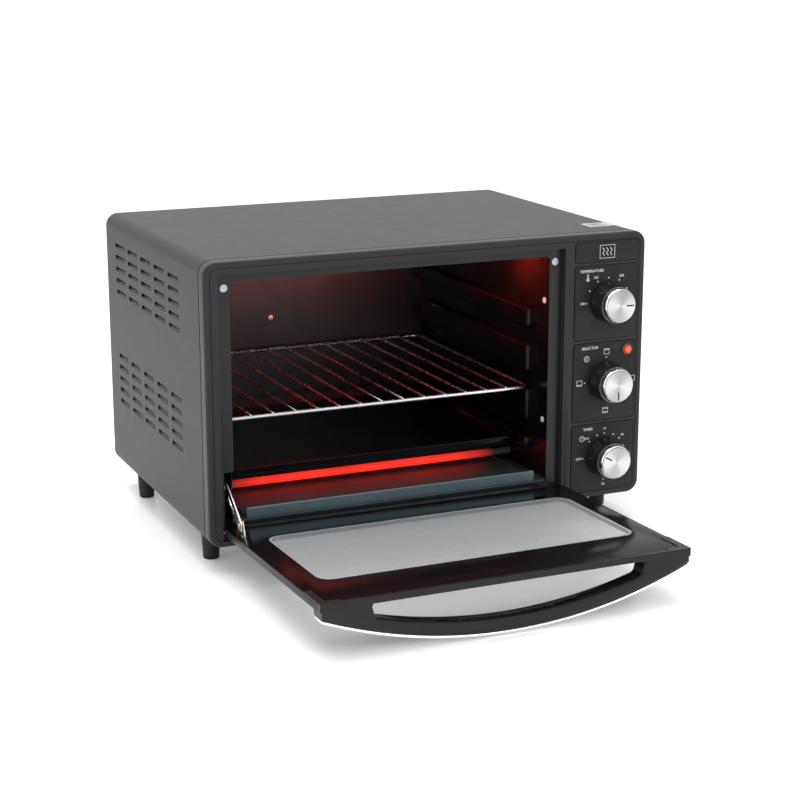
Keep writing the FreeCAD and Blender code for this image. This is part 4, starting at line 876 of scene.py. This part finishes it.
class OVEN_OT_knobs(bpy.types.Operator):
    """Three knobs: black body, bright ring, brushed cap with a pointer"""
    bl_idname = "oven.knobs"
    bl_label = "Knobs"

    def execute(self, context):
        for name, angle in zip(KNOBS, (0, -90, 152)):
            body = name + "_knob"
            low, high = span(body)
            top = span(body + "_cap")[0].y
            centre = Vector(joint(name + "_turn")["pos_m"])
            centre.y = high.y
            radius, depth, cap = (high.x - low.x) / 2, high.y - low.y, low.y - top
            waist = radius - 2.6 * MM
            dress(turned(body + "_body", [
                (radius - 1.2 * MM, 0), (radius - 0.2 * MM, 0.1 * MM), (radius, 0.5 * MM), (radius, 2.6 * MM),
                (radius - 0.3 * MM, 3.2 * MM), (radius - 0.5 * MM, 5 * MM), (waist, depth - 1.2 * MM),
                (waist - 0.3 * MM, depth - 0.4 * MM), (waist - 1.0 * MM, depth)],
                centre, TO_FRONT, 96), knob_black(), body, "knob_black", body)
            self.teeth(name, centre, waist, depth, 60, (0.32, depth / MM - 9), 6.5 * MM, 0.42 * MM,
                       knob_black(), "knob_black", "_flutes")
            face = centre - Vector((0, depth, 0))
            ring = turned(name + "_ring", [
                (waist - 1.0 * MM, 0), (waist - 0.6 * MM, 0.2 * MM), (waist - 0.7 * MM, cap * 0.45),
                (waist - 1.7 * MM, cap * 0.82), (waist - 2.0 * MM, cap * 0.86),
                (waist - 2.4 * MM, cap * 0.80)],
                face, TO_FRONT, 96)
            dress(ring, chrome(), body, "cap_aluminium")
            disc_at = face - Vector((0, cap * 0.5, 0))
            disc = turned(name + "_disc", [
                (waist - 2.4 * MM, 0), (waist - 2.4 * MM, cap * 0.32),
                (waist - 2.7 * MM, cap * 0.5 - 0.1 * MM),
                (waist - 3.1 * MM, cap * 0.5 - 0.05 * MM), (2 * MM, cap * 0.5 - 0.2 * MM)],
                disc_at, TO_FRONT, 96)
            dress(disc, brushed_cap(name + "_cap_aluminium", disc_at), body, "cap_aluminium", body + "_cap")
            self.pointer(name, angle, centre, span(body + "_cap")[0].y, waist, body)
            self.teeth(name, centre, waist, depth, 72, (0.30, 1.6), depth - 2.6 * MM, 0.0, chrome(),
                       "cap_aluminium", "_teeth")
            paint_part(name + "_spindle", bright_steel())
        return {"FINISHED"}

    def teeth(self, name, centre, waist, depth, count, size, start, stand, finish, slot, ending):
        """A ring of fine teeth round a knob: one modelled, the rest copied."""
        half, long = size[0] * MM, size[1] * MM
        bar = slab(name + "_tooth", (-half, -0.5 * MM, 0), (half, 0.25 * MM, long), 0, 2, 2, 0.12 * MM)
        seat = Matrix.Translation(centre) @ Matrix.Rotation(math.pi / 2, 4, "X")
        lean = Matrix.Rotation(math.atan2(-0.55 * MM, depth - 9 * MM) if stand else 0, 4, "X")
        out = Matrix.Translation((0, waist + stand, start))
        turns = [Matrix.Rotation(2 * math.pi * step / count, 4, "Z") for step in range(count)]
        ring = stamped(name + ending, bar, [seat @ turn @ out @ lean for turn in turns])
        dress(ring, finish, name + "_knob", slot)

    def pointer(self, name, angle, centre, face, waist, body):
        reach = waist - 3.4 * MM
        bar = slab(name + "_pointer", (reach * 0.42, face - 0.12 * MM, -0.75 * MM),
                   (reach * 0.97, face + 0.4 * MM, 0.75 * MM), 0.4 * MM, 1, 3)
        bar.matrix_world = Matrix.Translation((centre.x, 0, centre.z)) \
            @ Matrix.Rotation(-math.radians(angle), 4, "Y")
        dress(settle(bar), print_and_shade_black(), body, "knob_black")


class OVEN_OT_lamp(bpy.types.Operator):
    """Indicator lens in its collar"""
    bl_idname = "oven.lamp"
    bl_label = "Indicator lamp"

    def execute(self, context):
        low, high = span("indicator_lens")
        plate = span("selector_plate")[0].y
        centre = Vector(((low.x + high.x) / 2, plate, (low.z + high.z) / 2))
        radius = (high.x - low.x) / 2 + 0.8 * MM
        dress(turned("lamp_dome", [
            (radius - 1 * MM, 0), (radius - 0.6 * MM, 0.6 * MM), (radius - 0.8 * MM, 1.5 * MM),
            (radius - 1.5 * MM, 2.4 * MM), (radius - 2.8 * MM, 3.0 * MM), (radius - 4.4 * MM, 3.3 * MM)],
            centre, TO_FRONT, 40), lamp_red(centre, radius), "oven", "lamp_red", "indicator_lens")
        collar = turned("lamp_collar", [
            (radius - 0.5 * MM, 0.9 * MM), (radius - 0.3 * MM, 1.2 * MM), (radius + 0.5 * MM, 1.2 * MM),
            (radius + 0.9 * MM, 0.8 * MM), (radius + 1.0 * MM, 0.0)], centre, TO_FRONT, 40)
        dress(collar, knob_black(), "oven", "lamp_case")
        paint_part("indicator_lamp", bakelite())
        return {"FINISHED"}


class OVEN_OT_shell(bpy.types.Operator):
    """Shell, back, base and the foil label"""
    bl_idname = "oven.shell"
    bl_label = "Shell"

    def execute(self, context):
        shaped("outer_shell", "shell_folded", shell_paint(), "oven", "shell_paint")
        self.louvres()
        shaped("back_panel", "back_pressed", zinc(), "oven", "zinc_sheet")
        shaped("base_pan", "base_pressed", zinc(), "oven", "zinc_sheet")
        low, high = span("top_label")
        sticker = slab("label_sticker", low, high, 1.6 * MM, 2, 4, 0.08 * MM)
        dress(sticker, foil(), "oven", "cap_aluminium", "top_label")
        rows = []
        for step in range(5):
            edge = high.y - (4 + 3.6 * step) * MM
            rows.append(slab("label_row", (low.x + 4 * MM, edge - 1.2 * MM, high.z - 0.02 * MM),
                             (high.x - (5 + 4 * (step % 3)) * MM, edge, high.z + 0.06 * MM), 0.3 * MM, 2, 2))
        dress(join("label_rows", rows), print_and_shade_black(), "oven", "cap_aluminium")
        return {"FINISHED"}

    def louvres(self):
        """A slanted blade behind every slot in both sides, modelled once and copied."""
        low, high = span("outer_shell")
        length, tall = 36 * MM, 5 * MM
        first_column, column_pitch, groups, row_pitch = 82.5, 49.5, (80, 207), 13.2
        columns = [first_column + column_pitch * column for column in range(5)]
        rows = [group + row_pitch * row for group in groups for row in range(5)]
        blade = slab("louvre_blade", (0, -length / 2 - 0.5 * MM, -0.4 * MM),
                     (tall * 1.25, length / 2 + 0.5 * MM, 0.4 * MM), 0, 2, 2, 0.15 * MM)
        places = []
        for face, lean in ((low.x + 1.0 * MM, -38), (high.x - 1.0 * MM, -142)):
            for column in columns:
                for row in rows:
                    place = (face, BEZEL_LOW.y + column * MM + length / 2, BEZEL_LOW.z + row * MM - 0.2 * MM)
                    places.append(Matrix.Translation(place) @ Matrix.Rotation(math.radians(lean), 4, "Y"))
        # The blades' lighter paint is painted light.
        dress(stamped("louvre_blades", blade, places), lit_blade_paint(), "oven", "shell_paint")


class OVEN_OT_feet(bpy.types.Operator):
    """Four feet"""
    bl_idname = "oven.feet"
    bl_label = "Feet"

    def execute(self, context):
        shaped("feet", "feet_moulded", foot_plastic(), "oven", "foot_rubber", 0.3 * MM)
        return {"FINISHED"}


class OVEN_OT_cavity(bpy.types.Operator):
    """Front frame and the enamelled cavity"""
    bl_idname = "oven.cavity"
    bl_label = "Cavity"

    def execute(self, context):
        shaped("cavity_front_frame", "frame_pressed", frame_grey(), "oven", "dark_enamel")
        for part in ("cavity_left_wall", "cavity_right_wall", "cavity_roof"):
            shaped(part, part + "_enamelled", enamel(), "oven", "dark_enamel")
        shaped("cavity_back_wall", "back_wall_enamelled", back_enamel(), "oven", "dark_enamel")
        shaped("cavity_floor", "cavity_floor_sheet", smooth_zinc(), "oven", "zinc_sheet")
        return {"FINISHED"}


class OVEN_OT_heaters(bpy.types.Operator):
    """Four rod heaters with their collars and terminals"""
    bl_idname = "oven.heaters"
    bl_label = "Heaters"

    def execute(self, context):
        for part, share in (("heaters_lower", 1.0), ("heaters_upper", 0.8)):
            low, high = span(part)
            finish = hot_rod(part + "_glow", low.x, high.x, studio().heat * share)
            shaped(part, part + "_rods", finish, "oven", "heater_sheath")
        shaped("heater_collars", "heater_collars_fired", ceramic(), "oven", "collar_white")
        paint_part("heater_terminals", bright_steel())
        return {"FINISHED"}


class OVEN_OT_racks(bpy.types.Operator):
    """Wire rack, baking tray and crumb tray"""
    bl_idname = "oven.racks"
    bl_label = "Rack and trays"

    def execute(self, context):
        shaped("wire_rack", "rack_plated", rack_wire(), "rack", "chrome", angle=50)
        shaped("baking_tray", "baking_tray_enamelled", enamel(), "baking_tray", "dark_enamel", 0.3 * MM)
        shaped("crumb_tray", "crumb_tray_folded", smooth_zinc(), "crumb_tray", "zinc_sheet")
        return {"FINISHED"}


class OVEN_OT_door_glass(bpy.types.Operator):
    """Clear pane with a black printed border and its dots"""
    bl_idname = "oven.door_glass"
    bl_label = "Door glass"

    def execute(self, context):
        low, high = flat_span("door_glass")
        under, top = low.z, high.z
        right_share = 0.8
        left, right = low.x + sizes().window_side, high.x - sizes().window_side * right_share
        far, near, corner = -sizes().window_far, -sizes().window_near, sizes().window_corner
        window = slab("door_window", (left, far, under - 1 * MM), (right, near, top + 1 * MM), corner, 2, 12)
        border = slab("door_border", low, high, 2 * MM, 2, 4, 0.4 * MM)
        dress(onto_door(smooth(carved(border, window))), frit(), "door", "door_glass", "door_glass")
        pane = slab("door_pane", (left, far, under), (right, near, top), corner, 2, 12)
        dress(onto_door(pane), clear_glass(), "door", "door_glass")
        dots = self.dots(left, right, under - 0.03 * MM, top + 0.03 * MM)
        dress(onto_door(dots), dot_clear(), "door", "door_glass")
        return {"FINISHED"}

    def dots(self, left, right, under, top):
        """Rows of clear dots round the window that shrink into the black border."""
        pick_nothing()
        places = []
        corner, pitch = sizes().window_corner, sizes().dot_pitch
        near, far = sizes().window_near, sizes().window_far
        first_row, row_pitch, corner_dots = 0.9, 0.86, 12
        for row, radius in enumerate((0.78, 0.60, 0.42)):
            out, radius = (row * row_pitch + first_row) * MM, radius * MM
            shift = pitch / 2 * (row % 2)
            for step in range(int((right - left - 2 * corner) / pitch) + 1):
                x = left + corner + shift + step * pitch
                places += [((x, -far - out), radius), ((x, -near + out), radius)]
            for step in range(int((far - near - 2 * corner) / pitch) + 1):
                y = -far + corner + shift + step * pitch
                places += [((left - out, y), radius), ((right + out, y), radius)]
            for turn in range(4):
                middle = ((left + corner, right - corner)[turn in (0, 3)],
                          (-far + corner, -near - corner)[turn < 2])
                for step in range(1, corner_dots):
                    angle = math.pi / 2 * (turn + step / corner_dots)
                    places.append(((middle[0] + (corner + out) * math.cos(angle),
                                    middle[1] + (corner + out) * math.sin(angle)), radius))
        bpy.ops.mesh.primitive_cylinder_add(vertices=8, radius=1, depth=top - under, location=(0, 0, 0))
        stamp = bpy.context.object
        mesh = bmesh.new()
        for (x, y), radius in places:
            before = set(mesh.verts)
            mesh.from_mesh(stamp.data)
            for vert in mesh.verts:
                if vert not in before:
                    vert.co = (vert.co.x * radius + x, vert.co.y * radius + y, vert.co.z + (top + under) / 2)
        stamp.name = "door_dots"
        mesh.to_mesh(stamp.data)
        mesh.free()
        return stamp


class OVEN_OT_door_rails(bpy.types.Operator):
    """Side rails, bottom rail and hinge pins"""
    bl_idname = "oven.door_rails"
    bl_label = "Door rails"

    def execute(self, context):
        for part in ("door_rail_left", "door_rail_right", "door_foot_rail"):
            shaped(part, part + "_formed", door_black(), "door", "dark_enamel", 0.25 * MM)
        shaped("hinge_pins", "hinge_pins_plated", bright_steel(), "oven", "fixings")
        return {"FINISHED"}


class OVEN_OT_handle(bpy.types.Operator):
    """Bow handle and its bright strip"""
    bl_idname = "oven.handle"
    bl_label = "Handle"

    def execute(self, context):
        shaped("door_handle", "handle_bow", moulded(), "door", "handle_plastic", angle=28)
        shaped("handle_trim", "handle_strip", chrome(), "door", "chrome", 0.5 * MM, 28)
        return {"FINISHED"}


class OVEN_OT_link(bpy.types.Operator):
    """Door link, its bracket, rivet, coil spring and anchor"""
    bl_idname = "oven.link"
    bl_label = "Door link"

    def execute(self, context):
        shaped("door_link", "link_arm", bright_steel(), "door_link", "fixings", 0.2 * MM)
        shaped("link_bracket", "link_ear", bright_steel(), "door", "fixings", 0.2 * MM)
        shaped("link_rivet", "link_rivet_head", copper(), "door", "copper_rivet", 0.3 * MM)
        shaped("spring_anchor", "spring_anchor_tab", zinc(), "oven", "zinc_sheet", 0.2 * MM)
        self.spring()
        return {"FINISHED"}

    def spring(self):
        low, high = span("link_spring")
        x = (low.x + high.x) / 2
        radius = (high.x - low.x) / 2 - 0.65 * MM
        start = Vector((x, PIVOT.y, PIVOT.z))
        near, far = Vector((x, low.y, low.z)) - start, Vector((x, high.y, high.z)) - start
        aim = far.normalized()
        hook, tail, steps = 3 * MM, 7 * MM, 10
        first, last = near.dot(aim) + hook, far.dot(aim) - hook
        side = Vector((1, 0, 0))
        rise = aim.cross(side)
        turns = sizes().spring_turns
        points = [start + aim * (first - 1 * MM)]
        begin, end = first + tail, last - tail
        points.append(start + aim * (begin - 1.5 * MM))
        for step in range(turns * steps + 1):
            turn = 2 * math.pi * step / steps
            height = begin + (end - begin) * step / (turns * steps)
            points.append(start + aim * height + (side * math.cos(turn) + rise * math.sin(turn)) * radius)
        points += [start + aim * (end + 1.5 * MM), start + aim * (last + 1 * MM)]
        coil = wire("link_coil", points, 0.55 * MM, False, 2, True)
        dress(coil, bright_steel(), "door_link", "fixings", "link_spring")


class OVEN_OT_screws(bpy.types.Operator):
    """Cross-headed screws and rivets, modelled once and copied"""
    bl_idname = "oven.screws"
    bl_label = "Screws"

    def execute(self, context):
        self.set_of("frame_screws", "front", plated(), 4.0 * MM)
        self.set_of("back_panel_screws", "back", bright_steel(), 3.5 * MM)
        self.cavity()
        for part in ("foot_screws", "handle_screws"):
            paint_part(part, bright_steel())
        return {"FINISHED"}

    def head(self, name, radius, height):
        """A domed head that faces +Z, with a cross sunk into it."""
        head = turned(name, [(radius, 0), (radius, height * 0.35), (radius * 0.9, height * 0.7),
                             (radius * 0.68, height * 0.93), (radius * 0.3, height)], (0, 0, 0), around=32)
        for turn in (0, math.pi / 2):
            bar = slab("cross_arm", (-radius * 0.55, -radius * 0.12, height * 0.4),
                       (radius * 0.55, radius * 0.12, height * 1.6))
            bar.rotation_euler = (0, 0, turn)
            carved(head, settle(bar))
        return smooth(head)

    def islands(self, part):
        """Boxes of a part's separate solids."""
        mesh = bmesh.new()
        mesh.from_mesh(frame["nodes"][part].data)
        bmesh.ops.remove_doubles(mesh, verts=mesh.verts, dist=1e-6)
        seen, boxes = set(), []
        for first in mesh.verts:
            if first in seen:
                continue
            seen.add(first)
            queue, found = [first], []
            while queue:
                vert = queue.pop()
                found.append(vert.co.copy())
                for edge in vert.link_edges:
                    other = edge.other_vert(vert)
                    if other not in seen:
                        seen.add(other)
                        queue.append(other)
            low = Vector([min(p[i] for p in found) for i in range(3)])
            high = Vector([max(p[i] for p in found) for i in range(3)])
            boxes.append((low, high))
        mesh.free()
        return boxes

    def seat(self, place, way, spin):
        """Where a head goes that faces one way, turned about its own axis."""
        turn = Vector((0, 0, 1)).rotation_difference(Vector(way)).to_matrix().to_4x4()
        return Matrix.Translation(place) @ turn @ Matrix.Rotation(spin, 4, "Z")

    def set_of(self, part, side, finish, radius):
        low, high = span(part)
        pattern = self.head(part + "_pattern", radius, high.y - low.y)
        places = []
        for index, (low, high) in enumerate(self.islands(part)):
            middle = (low + high) / 2
            middle.y = high.y if side == "front" else low.y
            places.append(self.seat(middle, (0, -1 if side == "front" else 1, 0), 0.5 * index + 0.3))
        dress(stamped(part + "_heads", pattern, places), finish, "oven", "fixings", part)

    def cavity(self):
        places, rivets = [], []
        middle = (span("cavity_left_wall")[0].x + span("cavity_right_wall")[1].x) / 2
        for index, (low, high) in enumerate(self.islands("cavity_fixings")):
            size = high - low
            place = (low + high) / 2
            if size.y < min(size.x, size.z):
                place.y = high.y
                rivets.append(turned("back_wall_rivet", [
                    (3 * MM, 0), (3 * MM, 0.6 * MM), (2.4 * MM, 1.2 * MM), (1.2 * MM, 1.4 * MM),
                    (0.9 * MM, 0.7 * MM)],
                    place, TO_FRONT, 28))
            else:
                inward = 1 if place.x < middle else -1
                place.x = low.x if inward > 0 else high.x
                places.append(self.seat(place, (inward, 0, 0), 0.4 + index))
        heads = stamped("cavity_heads", self.head("cavity_pattern", 3.4 * MM, 1.4 * MM), places)
        dress(join("cavity_screw_heads", [heads, *rivets]), bright_plate(), "oven", "fixings",
              "cavity_fixings")


class OVEN_OT_works(bpy.types.Operator):
    """What sits behind the control strip, and the power entry"""
    bl_idname = "oven.works"
    bl_label = "Inner works"

    def execute(self, context):
        for part in ("control_bracket", "heat_shield"):
            paint_part(part, zinc())
        for part in ("thermostat", "selector_switch", "terminal_block"):
            paint_part(part, bakelite())
        paint_part("timer_mechanism", dull_steel())
        shaped("cord_gland", "gland_moulded", moulded(), "oven", "handle_plastic", 0.3 * MM)
        return {"FINISHED"}


class OVEN_PT_panel(bpy.types.Panel):
    """Every piece of the oven, in the order they are made"""
    bl_label = "Toaster oven"
    bl_idname = "OVEN_PT_panel"
    bl_space_type = "VIEW_3D"
    bl_region_type = "UI"
    bl_category = "Oven"

    def draw(self, context):
        for group in (context.scene.oven_sizes, context.scene.oven_colours, context.scene.oven_studio):
            box = self.layout.box()
            for key in group.__annotations__:
                box.prop(group, key)
        for operator in OPERATORS:
            self.layout.operator(operator.bl_idname)


GROUPS = {"oven_sizes": OvenSizes, "oven_colours": OvenColours, "oven_studio": OvenStudio}
OPERATORS = (
    OVEN_OT_stage, OVEN_OT_bezel, OVEN_OT_plates, OVEN_OT_knobs, OVEN_OT_lamp, OVEN_OT_shell, OVEN_OT_feet,
    OVEN_OT_cavity, OVEN_OT_heaters, OVEN_OT_racks, OVEN_OT_door_glass, OVEN_OT_door_rails, OVEN_OT_handle,
    OVEN_OT_link, OVEN_OT_screws, OVEN_OT_works,
)


def register():
    for name, group in GROUPS.items():
        bpy.utils.register_class(group)
        setattr(bpy.types.Scene, name, PointerProperty(type=group))
    for operator in OPERATORS:
        bpy.utils.register_class(operator)
    bpy.utils.register_class(OVEN_PT_panel)


def unregister():
    bpy.utils.unregister_class(OVEN_PT_panel)
    for operator in reversed(OPERATORS):
        bpy.utils.unregister_class(operator)
    for name, group in GROUPS.items():
        delattr(bpy.types.Scene, name)
        bpy.utils.unregister_class(group)


def main():
    register()
    for operator in OPERATORS:
        getattr(bpy.ops.oven, operator.bl_idname.split(".")[1])()


if __name__ == "__main__":
    main()
